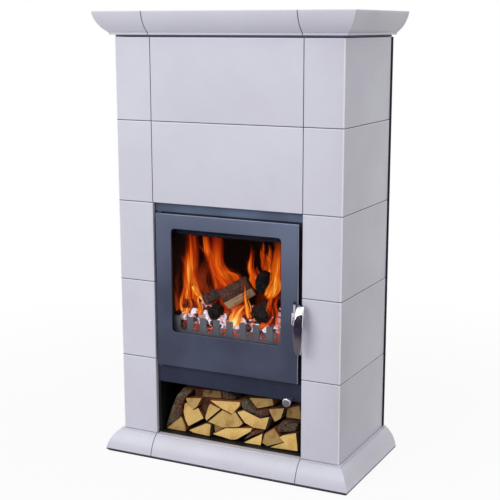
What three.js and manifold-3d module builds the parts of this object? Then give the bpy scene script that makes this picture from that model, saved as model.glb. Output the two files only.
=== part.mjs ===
// A tiled wood stove with a glazed fire door, a log niche, a pull-out air control and a sprung lever latch.
// Millimetres, +Z up. X runs along the front, and the front looks along -Y.
// In the working frame Y = 0 is the face of the front tiles and X = 0 is the stove's middle.

import * as THREE from 'three';
import { mergeVertices } from 'three/addons/utils/BufferGeometryUtils.js';
import ManifoldModule from 'manifold-3d';

const solids = await ManifoldModule();
solids.setup();

// ---------------------------------------------------------------- driving sizes

const CLEARANCE = 0.3; // between two pieces that touch
const PIN_CLEARANCE = 0.15; // radial, a pin that turns in its hole
const SHEET = 2; // casing sheet
const PLATE = 3; // fire box plate
const OVERSHOOT = 1; // how far a cutting shape runs past the body it cuts
const CURVE_SEGMENTS = 20; // along each drawn curve

// Tiled coat
const COAT_WIDTH = 650;
const COAT_DEPTH = 320;
const TILE_THICKNESS = 12;
const TILE_CORNER_RADIUS = 5;
const TILE_EDGE_BEVEL = 1;
const TILE_JOINT = 0.4;
const ROWS = 5;
const ROW_HEIGHT = 215;
const FRONT_TILE_WIDTH = 434;
const DOOR_ROWS = 3; // rows that the door and the niche take up

// Mouldings
const PAN_HEIGHT = 3.7;
const PAN_INSET = 4; // the floor pan stands back from the base moulding's edge
const BASE_TOP = 63;
const BASE_OVERHANG = 37;
const BASE_LEDGE_HEIGHT = 4;
const BASE_ARC_INSET = 9; // overhang where the arc meets the ledge
const LEDGE_OVERHANG = 6;
const CROWN_GAP = 5; // shadow gap between the top tiles and the crown
const CROWN_HEIGHT = 60;
const CROWN_OVERHANG = 42;
const CROWN_FILLET_HEIGHT = 6;
const CROWN_ARC_RISE = 7; // where the arc starts, above the crown's lower edge
const CROWN_ARC_INSET = 12.5;
const FILLET_OVERHANG = 10;
const MOULDING_SAGITTA = 5.5; // how far each moulding's arc bulges from its chord
const MOULDING_EDGE = 3; // straight edge where the arc ends
const MOULDING_STEPS = 9;
const MOULDING_REACH_BACK = 16; // the mouldings run this far behind the tiles
const MOULDING_WALL = 13;
const MOULDING_FRONT_DEPTH = 75; // from the tile face to the inside of the front moulding
const CROWN_SHELF = 17; // solid thickness at the top of the crown and of the base
const CROWN_SIDE_WIDTH = 75; // from the tile face to the inside of a side moulding
const BASE_SIDE_WIDTH = 120;
const REBATE = 11; // ledge that carries the top plates

// Steel casing
const BACK_SHEET_GAP = 11; // behind the tiles
const BACK_FLANGE_INSET = 1;
const TOP_FRAME_INSET = 3;
const TOP_FRAME_BAR = 47;

// Top plates
const GRILLE_COLUMNS = 9;
const GRILLE_COLUMN_PITCH = 50;
const GRILLE_ROWS = 3;
const GRILLE_EDGE = 7; // plate outside the outer rows of slots
const GRILLE_SLOT = [38, 6]; // length and width

// Front steelwork
const STRIP_HEIGHT = 24;
const STRIP_LIP = 8;
const STEEL_LAP = 8.7; // how far the front steel reaches behind the tiles beside it
const NICHE_SIDE_GAP = 6.5; // between a tile's edge and the side of the niche
const BAND_HEIGHT = 47.5;

// Door
const DOOR_HEIGHT = 415;
const DOOR_SIDE_GAP = 10.3; // between the door and the tiles beside it
const DOOR_TOP_GAP = 3.5;
const DOOR_BOTTOM_GAP = 6;
const DOOR_PROUD = 5; // how far the door stands out from the tiles
const DOOR_THICKNESS = 8.5;
const DOOR_BEVEL = 1.2;
const STILE_WIDTH = 46.2;
const TOP_RAIL = 37.5;
const BOTTOM_RAIL = 95.8;
const WINDOW_RADIUS = 10;
const GLASS_THICKNESS = 4;
const GLASS_LAP = 9.5;
const GLASS_CORNER = 4;
const RETAINER_RIM = 5;
const RETAINER_LAP = 7;
const GASKET_SIDE_INSET = 15.7;
const GASKET_END_INSET = 6.5;
const GASKET_ROPE = 10;
const GASKET_RADIUS = 22;
const GASKET_BEVEL = 2.6;

// Door hinge
const HINGE_INSET = 7.2; // from the door's left edge to the pins
const HINGE_PIN_RADIUS = 2.5;
const HINGE_PIN_LENGTH = 13;
const HINGE_BORE_ROOM = 2; // past the end of the pin
const HINGE_TONGUE = 2.7;
const HINGE_TONGUE_HALF = 4.2;

// Fire box
const OPENING_SIDE_MARGIN = 9; // from the gasket's inner edge to the opening
const SHELL_SIDE_MARGIN = 28; // from the opening to the outside of the shell
const SHELL_BACK_GAP = 30; // in front of the tiles' back edge
const FLOOR_RISE = 18.5; // above the door's lower edge
const HEARTH_RISE = 56; // above the fire box floor
const FIREBOX_DROP = 238; // below the top of the tiles
const LINER_THICKNESS = 25;
const LINER_SETBACK = 2;
const LINER_DROP = 12; // below the air-wash plate
const BAFFLE_FRONT = 62;
const HEARTH_HALF_GAP = 82;
const GRATE_LAP = 13; // on each hearth block
const GRATE_THICKNESS = 10;
const GRATE_FRONT = 30;
const GRATE_END_GAP = 3.7;
const GRATE_SLOT = 8;
const GRATE_SLOT_PITCH = 19;
const GRATE_SLOTS = 9;
const GRATE_RIM = 14;
const GRATE_RIB = 12;
const PORTS = 4;
const PORT_PITCH = 40;
const PORT_WIDTH = 26;
const PORT_DEPTH = 24;

// Plate that turns the air down over the glass
const WASH_DROP = 16; // below the window's upper edge
const WASH_RISE = 12; // above it
const WASH_SHELF = 28;
const WASH_END_GAP = 4;

// Log guard: a comb of upright teeth just behind the window
const GUARD_FRONT = 18;
const GUARD_SIDE_GAP = 4;
const GUARD_DROP = 12; // below the hearth
const GUARD_RISE = 62; // above the hearth
const GUARD_GAPS = 8;
const GUARD_END_TOOTH = 20.65;
const GUARD_GAP_WIDTH = 19.6;
const GUARD_GAP_RISE = 22; // of a gap's lower end above the hearth
const GUARD_FOOT_INSET = [18, 56]; // from the comb's end to each edge of its foot
const GUARD_FOOT_DEPTH = 26;

// Ash pan
const PAN_SIDE_GAP = 4;
const PAN_FRONT = 24;
const PAN_END_GAP = 4.7;
const PAN_DROP = 15; // below the hearth
const PAN_WALL = 2;
const PAN_PULL_WIDTH = 50;
const PAN_PULL_REACH = 5;
const PAN_PULL_RISE = [18, 21];

// Flue
const FLUE_RADIUS = 75;
const FLUE_WALL = 2;
const FLUE_INSET = 95; // from the back of the fire box to the flue's middle
const FLUE_DROP = 6; // below the crown's upper edge
const FLUE_PLATE_EDGE = 10; // plate in front of the flue
const FLUE_FLANGE = 12;
const FLUE_SPIGOT = 6; // how far the pipe reaches into the fire box

// Handle. Heights count from the middle of its hub.
const HANDLE_INSET = 4.7; // from the door's right edge to the pin
const HANDLE_RISE = 171.5; // above the door's lower edge
const HANDLE_Y = -12;
const HANDLE_PIN_RADIUS = 2;
const HANDLE_PIN_SPAN = [-15.5, 46];
const HANDLE_PIN_HEAD = 3.4;
const HUB_RADIUS = 4.2;
const LUG_RADIUS = 4.5;
const LUG_CHEEK = 1; // the lug's right cheek is cut back by this
const LOWER_LUG_SPAN = [-13, -9.5];
const UPPER_LUG_SPAN = [9, 12.5];
const BRACKET_SIDE = [-10, 4]; // about the pin
const BRACKET_SPAN = [-13, 17];
const SPRING_TURNS = 9;
const SPRING_RADIUS = 2.75;
const SPRING_WIRE = 0.5;
const SPRING_STEPS_PER_TURN = 14;
const CAP_SPAN = [41.3, 48.5];
const CAP_RADIUS = 3.6;
const CAP_CHAMFER = 1.4;
const GRIP_OFFSET = 19.2; // from the pin to the grip's middle
const ARM_Y = [-31, -9.5];
const ARM_TOP = 6;
const ARM_LAP = 6; // how far the arm stops short of the grip's middle
const GRIP_CUT = 60; // wider and deeper than the grip
// The grip's side view as (y, height), from its tip up its front face and back down its rear face.
const GRIP_FRONT_CURVE = [
  [-33, -88], [-37.5, -59], [-38.3, -29], [-35.6, -1], [-29.6, 21], [-20.5, 37.5], [-10, 42.5],
];
const GRIP_REAR_CURVE = [
  [-10, 34.5], [-15.5, 29], [-21, 14], [-27, -5], [-29.8, -28], [-29.3, -57], [-26, -85],
];
// The grip's half width at each height, and the dome that closes its top.
const GRIP_HALF_WIDTHS = [
  [4.5, -87], [7.6, -81], [10.6, -65], [12.8, -45], [13.3, -25], [12.8, 3], [11.9, 25], [9.5, 37], [4, 42.6],
];
const HOOK_THICKNESS = 3.2;
const HOOK_FRONT = -24;
const HOOK_SHANK = [5.2, 12.5]; // from the pin
const HOOK_SHANK_BACK = -8;
const HOOK_NECK = 7.8; // from the pin
const HOOK_NECK_Y = [-4, 12];
const HOOK_NOSE = -0.5; // from the pin
const HOOK_NOSE_DEPTH = 4.8;
const HOOK_NOSE_CHAMFER = 1.5;
const HOOK_SLOT_SIDE = [3.2, 17.5]; // from the pin
const HOOK_SLOT_ROOM = 3;

// Air control
const AIR_INSET = 30; // from the front tile's edge to the rod
const AIR_RISE = 8; // above the band's lower edge
const AIR_ROD_RADIUS = 4;
const AIR_ROD_FRONT = -12;
const AIR_KNOB_Y = [-30, -8];
const AIR_KNOB_RADIUS = 11.2;
const AIR_KNOB_EDGE = 2.4;
const AIR_KNOB_HEAD = 9;
const AIR_KNOB_NECK = 7.5;
const SHUTTER_FRONT = 60;
const SHUTTER_LAP = 4; // past the ports on each side
const SHUTTER_BACK_LAP = 8;
const SHUTTER_THICKNESS = 2.5;
const SHUTTER_TAB = [12, 4]; // width and thickness of the tab that joins it to the rod
const SHUTTER_TAB_DROP = 5; // how far the tab reaches below the rod's middle

// ---------------------------------------------------------------- sizes that follow

const COAT_HALF = COAT_WIDTH / 2;
const COAT_TOP = BASE_TOP + ROWS * ROW_HEIGHT;
const TILE_EDGE_X = FRONT_TILE_WIDTH / 2;
const BASE_BOTTOM = PAN_HEIGHT + CLEARANCE;
const BASE_ARC_TOP = BASE_TOP - BASE_LEDGE_HEIGHT;
const BASE_OPENING_HALF = COAT_HALF - BASE_SIDE_WIDTH;
const CROWN_BOTTOM = COAT_TOP + CROWN_GAP;
const CROWN_TOP = CROWN_BOTTOM + CROWN_HEIGHT;
const CROWN_OPENING_HALF = COAT_HALF - CROWN_SIDE_WIDTH;
const MOULDING_BACK = COAT_DEPTH + MOULDING_REACH_BACK;
const BACK_SHEET_Y = COAT_DEPTH + BACK_SHEET_GAP;
const SIDE_SHEET_X = COAT_HALF - TILE_THICKNESS - CLEARANCE;

const STEEL_FRONT = TILE_THICKNESS + CLEARANCE;
const STEEL_BACK = STEEL_FRONT + SHEET;
const FRAME_FRONT = STEEL_BACK + CLEARANCE;
const FRAME_BACK = FRAME_FRONT + PLATE;
const STEEL_HALF_WIDTH = TILE_EDGE_X + STEEL_LAP;
const STRIP_TOP = BASE_TOP + DOOR_ROWS * ROW_HEIGHT;
const STRIP_Z = [STRIP_TOP - STRIP_HEIGHT, STRIP_TOP];
const DOOR_TOP = STRIP_Z[0] - DOOR_TOP_GAP;
const DOOR_Z = [DOOR_TOP - DOOR_HEIGHT, DOOR_TOP];
const BAND_TOP = DOOR_Z[0] - DOOR_BOTTOM_GAP;
const BAND_Z = [BAND_TOP - BAND_HEIGHT, BAND_TOP];
const NICHE_HALF_WIDTH = TILE_EDGE_X - NICHE_SIDE_GAP;
const NICHE_TOP_Z = BAND_Z[0] + SHEET;

const DOOR_HALF = TILE_EDGE_X - DOOR_SIDE_GAP;
const DOOR_FRONT = -DOOR_PROUD;
const DOOR_BACK = DOOR_FRONT + DOOR_THICKNESS;
const WINDOW_HALF = DOOR_HALF - STILE_WIDTH;
const WINDOW_Z = [DOOR_Z[0] + BOTTOM_RAIL, DOOR_Z[1] - TOP_RAIL];
const GASKET_HALF_WIDTH = DOOR_HALF - GASKET_SIDE_INSET;
const GASKET_Z = [DOOR_Z[0] + GASKET_END_INSET, DOOR_Z[1] - GASKET_END_INSET];
const HINGE_X = -DOOR_HALF + HINGE_INSET;
const HINGE_Y = (DOOR_FRONT + DOOR_BACK) / 2;

const FIRE_OPENING_HALF = GASKET_HALF_WIDTH - GASKET_ROPE - OPENING_SIDE_MARGIN;
const SHELL_HALF_WIDTH = FIRE_OPENING_HALF + SHELL_SIDE_MARGIN;
const SHELL_FRONT = FRAME_BACK + CLEARANCE;
const SHELL_BACK = COAT_DEPTH - SHELL_BACK_GAP;
const FLOOR_Z = DOOR_Z[0] + FLOOR_RISE;
const FLOOR_TOP = FLOOR_Z + PLATE;
const HEARTH_Z = FLOOR_Z + HEARTH_RISE;
const WASH_Z = [WINDOW_Z[1] - WASH_DROP, WINDOW_Z[1] + WASH_RISE];
const FIRE_OPENING_TOP = WASH_Z[1];
const LINER_TOP = WASH_Z[0] - LINER_DROP;
const FIREBOX_TOP = COAT_TOP - FIREBOX_DROP;
const LINER_HALF = SHELL_HALF_WIDTH - PLATE - CLEARANCE;
const LINER_INNER = LINER_HALF - LINER_THICKNESS;
const LINER_BACK_Y = [SHELL_BACK - PLATE - CLEARANCE - LINER_THICKNESS, SHELL_BACK - PLATE - CLEARANCE];
const LINING_END = LINER_BACK_Y[0] - CLEARANCE;
const GRATE_HALF_WIDTH = HEARTH_HALF_GAP + GRATE_LAP;
const GRATE_BACK = LINER_BACK_Y[0] - GRATE_END_GAP;
const PORT_Y = [SHUTTER_FRONT + SHUTTER_LAP, SHUTTER_FRONT + SHUTTER_LAP + PORT_DEPTH];
const PAN_HALF_WIDTH = HEARTH_HALF_GAP - PAN_SIDE_GAP;
const PAN_Y = [PAN_FRONT, LINER_BACK_Y[0] - PAN_END_GAP];
const PAN_TOP = HEARTH_Z - PAN_DROP;
const GUARD_HALF_WIDTH = FIRE_OPENING_HALF - GUARD_SIDE_GAP;
const GUARD_BACK = GUARD_FRONT + PLATE;
const GUARD_PITCH = (2 * (GUARD_HALF_WIDTH - GUARD_END_TOOTH) - GUARD_GAP_WIDTH) / (GUARD_GAPS - 1);
const GUARD_FOOT_X = [GUARD_HALF_WIDTH - GUARD_FOOT_INSET[1], GUARD_HALF_WIDTH - GUARD_FOOT_INSET[0]];
const GUARD_Z = [HEARTH_Z - GUARD_DROP, HEARTH_Z + GUARD_RISE];
const GUARD_GAP_BOTTOM = HEARTH_Z + GUARD_GAP_RISE;
const FLUE_Y = SHELL_BACK - FLUE_INSET;
const FLUE_TOP = CROWN_TOP - FLUE_DROP;
const GRILLE_FRONT = MOULDING_FRONT_DEPTH - REBATE;
const GRILLE_SPLIT_Y = FLUE_Y - FLUE_RADIUS - FLUE_PLATE_EDGE;
const GRILLE_SLOT_ROOM = GRILLE_SPLIT_Y - GRILLE_FRONT - 2 * GRILLE_EDGE;
const GRILLE_ROW_PITCH = (GRILLE_SLOT_ROOM - GRILLE_SLOT[1]) / (GRILLE_ROWS - 1);

const HANDLE_X = DOOR_HALF - HANDLE_INSET;
const HANDLE_Z = DOOR_Z[0] + HANDLE_RISE;
const atHandle = (span) => span.map((height) => HANDLE_Z + height);
const besidePin = (span) => span.map((offset) => HANDLE_X + offset);
const HANDLE_PIN_Z = atHandle(HANDLE_PIN_SPAN);
const LUG_Z = [atHandle(LOWER_LUG_SPAN), atHandle(UPPER_LUG_SPAN)];
const BRACKET_X = besidePin(BRACKET_SIDE);
const BRACKET_Z = atHandle(BRACKET_SPAN);
const CAP_Z = atHandle(CAP_SPAN);
const GRIP_X = HANDLE_X + GRIP_OFFSET;
const HOOK_BOTTOM = LUG_Z[0][1] + CLEARANCE;
const HOOK_Z = [HOOK_BOTTOM, HOOK_BOTTOM + HOOK_THICKNESS];
const HOOK_SHANK_X = besidePin(HOOK_SHANK);
const HOOK_NECK_X = HANDLE_X + HOOK_NECK;
const HOOK_NOSE_X = HANDLE_X + HOOK_NOSE;
const HOOK_NOSE_BACK = FRAME_BACK + HOOK_NOSE_DEPTH;
const HOOK_SLOT_X = besidePin(HOOK_SLOT_SIDE);
const HOOK_SLOT_Z = [HOOK_Z[0] - HOOK_SLOT_ROOM, HOOK_Z[1] + HOOK_SLOT_ROOM];

const AIR_X = TILE_EDGE_X - AIR_INSET;
const AIR_Z = BAND_Z[0] + AIR_RISE;
const PORT_SPREAD = ((PORTS - 1) * PORT_PITCH + PORT_WIDTH) / 2;
const SHUTTER_Y = [SHUTTER_FRONT, PORT_Y[1] + SHUTTER_BACK_LAP];
const SHUTTER_X = [-PORT_SPREAD - SHUTTER_LAP, AIR_X + SHUTTER_TAB[0] / 2 + PIN_CLEARANCE];
const AIR_ROD_Y = [AIR_ROD_FRONT, SHUTTER_Y[1] - SHUTTER_TAB[1] / 2];

// ---------------------------------------------------------------- finishes

function finish(color, roughness, metalness) {
  return { color, roughness, metalness };
}

const CERAMIC = finish(0xe4e4ea, 0.22, 0.0);
const GREY_STEEL = finish(0x5d6377, 0.42, 0.75);
const DARK_STEEL = finish(0x2b2c38, 0.5, 0.7);
const BLACK_STEEL = finish(0x151518, 0.6, 0.6);
const GALVANISED = finish(0x8d9196, 0.45, 0.85);
const CAST_IRON = finish(0x26262a, 0.75, 0.6);
const VERMICULITE = finish(0xb59f7c, 0.95, 0.0);
const FIRE_BRICK = finish(0xc2a07c, 0.95, 0.0);
const GLASS = finish(0x20242a, 0.05, 0.0);
const ROPE = finish(0x3a3a3c, 1.0, 0.0);
const CHROME = finish(0xd6d8dc, 0.08, 1.0);
const BLACK_PLASTIC = finish(0x0b0b0c, 0.4, 0.0);
const SPRING_STEEL = finish(0xb9bcc2, 0.25, 1.0);

// ---------------------------------------------------------------- shape helpers

const toYZ = new THREE.Matrix4().makeBasis(
  new THREE.Vector3(0, 1, 0),
  new THREE.Vector3(0, 0, 1),
  new THREE.Vector3(1, 0, 0),
);

function box([x0, x1], [y0, y1], [z0, z1]) {
  const geometry = new THREE.BoxGeometry(x1 - x0, y1 - y0, z1 - z0);
  return geometry.translate((x0 + x1) / 2, (y0 + y1) / 2, (z0 + z1) / 2);
}

function grown([low, high], by) {
  return [low - by, high + by];
}

function about(middle, width) {
  return [middle - width / 2, middle + width / 2];
}

function outline(points, Kind = THREE.Shape) {
  return new Kind(points.map(([u, v]) => new THREE.Vector2(u, v)));
}

// Points along an arc, both ends included, with angles in degrees.
function arcPoints(u, v, radius, from, to, steps) {
  return Array.from({ length: steps + 1 }, (_, step) => {
    const angle = THREE.MathUtils.degToRad(from + ((to - from) * step) / steps);
    return [u + radius * Math.cos(angle), v + radius * Math.sin(angle)];
  });
}

function rectangle([u0, u1], [v0, v1], radius = 0, Kind = THREE.Shape) {
  if (radius === 0) {
    return outline([[u0, v0], [u1, v0], [u1, v1], [u0, v1]], Kind);
  }
  const corner = (u, v, from) => arcPoints(u, v, radius, from, from + 90, 6);
  return outline([
    ...corner(u1 - radius, v0 + radius, -90),
    ...corner(u1 - radius, v1 - radius, 0),
    ...corner(u0 + radius, v1 - radius, 90),
    ...corner(u0 + radius, v0 + radius, 180),
  ], Kind);
}

function circle(u, v, radius, steps, Kind = THREE.Shape) {
  return outline(arcPoints(u, v, radius, 0, 360, steps).slice(1), Kind);
}

// Extrudes a shape by a length, with a bevel inside the stated outline where one is given.
function extrude(shape, length, bevel = 0) {
  const geometry = new THREE.ExtrudeGeometry(shape, {
    depth: length - 2 * bevel,
    curveSegments: CURVE_SEGMENTS,
    bevelEnabled: bevel > 0,
    bevelThickness: bevel,
    bevelSize: bevel,
    bevelOffset: -bevel,
    bevelSegments: 1,
  });
  return geometry.translate(0, 0, bevel);
}

// A plan shape, (x, y), raised from one height to another.
function raised(shape, [z0, z1], bevel = 0) {
  return extrude(shape, z1 - z0, bevel).translate(0, 0, z0);
}

// A front view shape, (x, z), that runs back from one y to another.
function runBack(shape, [y0, y1], bevel = 0) {
  return extrude(shape, y1 - y0, bevel).rotateX(Math.PI / 2).translate(0, y1, 0);
}

// A side view shape, (y, z), that runs across from one x to another.
function runAcross(shape, [x0, x1], bevel = 0) {
  return extrude(shape, x1 - x0, bevel).applyMatrix4(toYZ).translate(x0, 0, 0);
}

function rod([x, y], radius, [z0, z1], segments = 20) {
  const geometry = new THREE.CylinderGeometry(radius, radius, z1 - z0, segments);
  return geometry.rotateX(Math.PI / 2).translate(x, y, (z0 + z1) / 2);
}

function rodAlongY([x, z], radius, [y0, y1], segments = 24) {
  const geometry = new THREE.CylinderGeometry(radius, radius, y1 - y0, segments);
  return geometry.translate(x, (y0 + y1) / 2, z);
}

// A profile of (radius, height) points, turned about an upright axis.
function turned(profile, [x, y], segments = 32) {
  const points = profile.map(([radius, height]) => new THREE.Vector2(radius, height));
  return new THREE.LatheGeometry(points, segments).rotateX(Math.PI / 2).translate(x, y, 0);
}

function mirrored(geometry) {
  const copy = geometry.clone().scale(-1, 1, 1);
  const plain = copy.index ? copy.toNonIndexed() : copy;
  const position = plain.getAttribute('position');
  for (let corner = 0; corner < position.count; corner += 3) {
    const second = new THREE.Vector3().fromBufferAttribute(position, corner + 1);
    const third = new THREE.Vector3().fromBufferAttribute(position, corner + 2);
    position.setXYZ(corner + 1, third.x, third.y, third.z);
    position.setXYZ(corner + 2, second.x, second.y, second.z);
  }
  return plain;
}

// ---------------------------------------------------------------- cutting and joining

function toSolid(geometry) {
  const bare = new THREE.BufferGeometry();
  bare.setAttribute('position', geometry.getAttribute('position').clone());
  bare.setIndex(geometry.index);
  const merged = mergeVertices(bare, 1e-4);
  const mesh = new solids.Mesh({
    numProp: 3,
    vertProperties: Float32Array.from(merged.getAttribute('position').array),
    triVerts: Uint32Array.from(merged.index.array),
  });
  mesh.merge();
  return new solids.Manifold(mesh);
}

function toGeometry(solid) {
  const mesh = solid.getMesh();
  const geometry = new THREE.BufferGeometry();
  geometry.setAttribute('position', new THREE.BufferAttribute(Float32Array.from(mesh.vertProperties), 3));
  geometry.setIndex(new THREE.BufferAttribute(Uint32Array.from(mesh.triVerts), 1));
  return geometry;
}

function join(...pieces) {
  return toGeometry(solids.Manifold.union(pieces.map(toSolid)));
}

function cut(body, ...tools) {
  return toGeometry(solids.Manifold.difference([body, ...tools].map(toSolid)));
}

function common(...pieces) {
  return toGeometry(solids.Manifold.intersection(pieces.map(toSolid)));
}

// ---------------------------------------------------------------- the assembly

const assembly = new THREE.Group();

function add(name, geometry, look) {
  const material = new THREE.MeshStandardMaterial(look);
  const shaded = geometry.index ? geometry.toNonIndexed() : geometry;
  shaded.computeVertexNormals();
  const mesh = new THREE.Mesh(shaded, material);
  mesh.name = name;
  assembly.add(mesh);
  return mesh;
}

// ---------------------------------------------------------------- tiled coat

// Plan of a right-hand corner tile: a short leg on the front and a long leg along the side.
function cornerTilePlan() {
  const inner = TILE_EDGE_X + TILE_JOINT / 2;
  const bevel = TILE_EDGE_BEVEL;
  const radius = TILE_CORNER_RADIUS;
  return outline([
    [inner + bevel, 0],
    ...arcPoints(COAT_HALF - radius, radius, radius, -90, 0, 4),
    [COAT_HALF, COAT_DEPTH - bevel],
    [COAT_HALF - bevel, COAT_DEPTH],
    [COAT_HALF - TILE_THICKNESS, COAT_DEPTH],
    [COAT_HALF - TILE_THICKNESS, TILE_THICKNESS],
    [inner, TILE_THICKNESS],
    [inner, bevel],
  ]);
}

function rowSpan(row) {
  const bottom = BASE_TOP + (row - 1) * ROW_HEIGHT;
  return [bottom + TILE_JOINT / 2, bottom + ROW_HEIGHT - TILE_JOINT / 2];
}

function buildTiles() {
  for (let row = 1; row <= ROWS; row += 1) {
    const tile = raised(cornerTilePlan(), rowSpan(row), TILE_EDGE_BEVEL);
    add(`tile_right_${row}`, tile, CERAMIC);
    add(`tile_left_${row}`, mirrored(tile), CERAMIC);
  }
  const half = TILE_EDGE_X - TILE_JOINT / 2;
  for (let row = DOOR_ROWS + 1; row <= ROWS; row += 1) {
    const [z0, z1] = rowSpan(row);
    const face = rectangle([-half, half], [z0, z1]);
    const tile = runBack(face, [0, TILE_THICKNESS], TILE_EDGE_BEVEL);
    add(`tile_front_${row}`, tile, CERAMIC);
  }
}

// Points of a moulding's outer face as (overhang, height), from its ledge to its far edge. The face between is
// one arc, drawn as a quadratic curve that bulges outwards from its chord.
function mouldingFace(ledge, arcStart, arcEnd, edge) {
  const start = new THREE.Vector2(...arcStart);
  const end = new THREE.Vector2(...arcEnd);
  const chord = end.clone().sub(start);
  const outward = new THREE.Vector2(Math.abs(chord.y), -Math.sign(chord.y) * Math.abs(chord.x)).normalize();
  const control = start.clone().add(end).multiplyScalar(0.5).addScaledVector(outward, 2 * MOULDING_SAGITTA);
  const arc = new THREE.QuadraticBezierCurve(start, control, end);
  return [...ledge, ...arc.getPoints(MOULDING_STEPS).map((point) => [point.x, point.y]), edge];
}

const CROWN_FACE = mouldingFace(
  [[FILLET_OVERHANG, CROWN_BOTTOM], [FILLET_OVERHANG, CROWN_BOTTOM + CROWN_FILLET_HEIGHT]],
  [CROWN_ARC_INSET, CROWN_BOTTOM + CROWN_ARC_RISE],
  [CROWN_OVERHANG, CROWN_TOP - MOULDING_EDGE],
  [CROWN_OVERHANG, CROWN_TOP],
);

const BASE_FACE = mouldingFace(
  [[LEDGE_OVERHANG, BASE_TOP - TILE_JOINT / 2], [LEDGE_OVERHANG, BASE_ARC_TOP]],
  [BASE_ARC_INSET, BASE_ARC_TOP],
  [BASE_OVERHANG, BASE_BOTTOM + MOULDING_EDGE],
  [BASE_OVERHANG, BASE_BOTTOM],
);

// The full block inside a moulding's faces: what the front profile and both side profiles have in common.
function mouldingBlock(face) {
  const top = face[face.length - 1][1];
  const bottom = face[0][1];
  const frontProfile = outline([
    ...face.map(([overhang, z]) => [-overhang, z]),
    [MOULDING_BACK, top],
    [MOULDING_BACK, bottom],
  ]);
  const right = face.map(([overhang, z]) => [COAT_HALF + overhang, z]);
  const left = face.map(([overhang, z]) => [-COAT_HALF - overhang, z]).reverse();
  const reach = COAT_HALF + CROWN_OVERHANG + OVERSHOOT;
  return common(
    runAcross(frontProfile, [-reach, reach]),
    runBack(outline([...right, ...left]), [-CROWN_OVERHANG - OVERSHOOT, MOULDING_BACK]),
  );
}

// Hollows a moulding block from below and opens its middle. What is left is a shell with a solid shelf on top.
function hollowMoulding(block, openingHalf, [bottom, top]) {
  const below = bottom - OVERSHOOT;
  const shelf = top - CROWN_SHELF;
  const outer = COAT_HALF - MOULDING_WALL;
  const inner = openingHalf + MOULDING_WALL;
  const wellBack = MOULDING_BACK - MOULDING_WALL;
  const frontWell = box([-outer, outer], [MOULDING_WALL, MOULDING_FRONT_DEPTH - MOULDING_WALL], [below, shelf]);
  const sideWell = box([inner, outer], [MOULDING_WALL, wellBack], [below, shelf]);
  const middle = box(
    [-openingHalf, openingHalf],
    [MOULDING_FRONT_DEPTH, MOULDING_BACK + OVERSHOOT],
    [below, top + OVERSHOOT],
  );
  return cut(block, middle, frontWell, sideWell, mirrored(sideWell));
}

// Cuts a moulding into its left, front and right pieces at the same upright joints as the tiles.
function addMoulding(name, moulding) {
  const reach = COAT_HALF + CROWN_OVERHANG + OVERSHOOT;
  const depth = [-CROWN_OVERHANG - OVERSHOOT, MOULDING_BACK + OVERSHOOT];
  const height = [-OVERSHOOT, CROWN_TOP + OVERSHOOT];
  const joint = TILE_JOINT / 2;
  const rightSide = box([TILE_EDGE_X + joint, reach], depth, height);
  const middle = box([-TILE_EDGE_X + joint, TILE_EDGE_X - joint], [depth[0], MOULDING_FRONT_DEPTH], height);
  add(`${name}_left`, common(moulding, mirrored(rightSide)), CERAMIC);
  add(`${name}_front`, common(moulding, middle), CERAMIC);
  add(`${name}_right`, common(moulding, rightSide), CERAMIC);
}

function buildMouldings() {
  const crown = hollowMoulding(mouldingBlock(CROWN_FACE), CROWN_OPENING_HALF - REBATE, [CROWN_BOTTOM, CROWN_TOP]);
  const seat = box(
    [-CROWN_OPENING_HALF, CROWN_OPENING_HALF],
    [MOULDING_FRONT_DEPTH - REBATE, MOULDING_BACK + OVERSHOOT],
    [CROWN_TOP - CROWN_SHELF, CROWN_TOP + OVERSHOOT],
  );
  addMoulding('crown', cut(crown, seat));
  addMoulding('base', hollowMoulding(mouldingBlock(BASE_FACE), BASE_OPENING_HALF, [BASE_BOTTOM, BASE_TOP]));
}

// ---------------------------------------------------------------- steel casing

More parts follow.
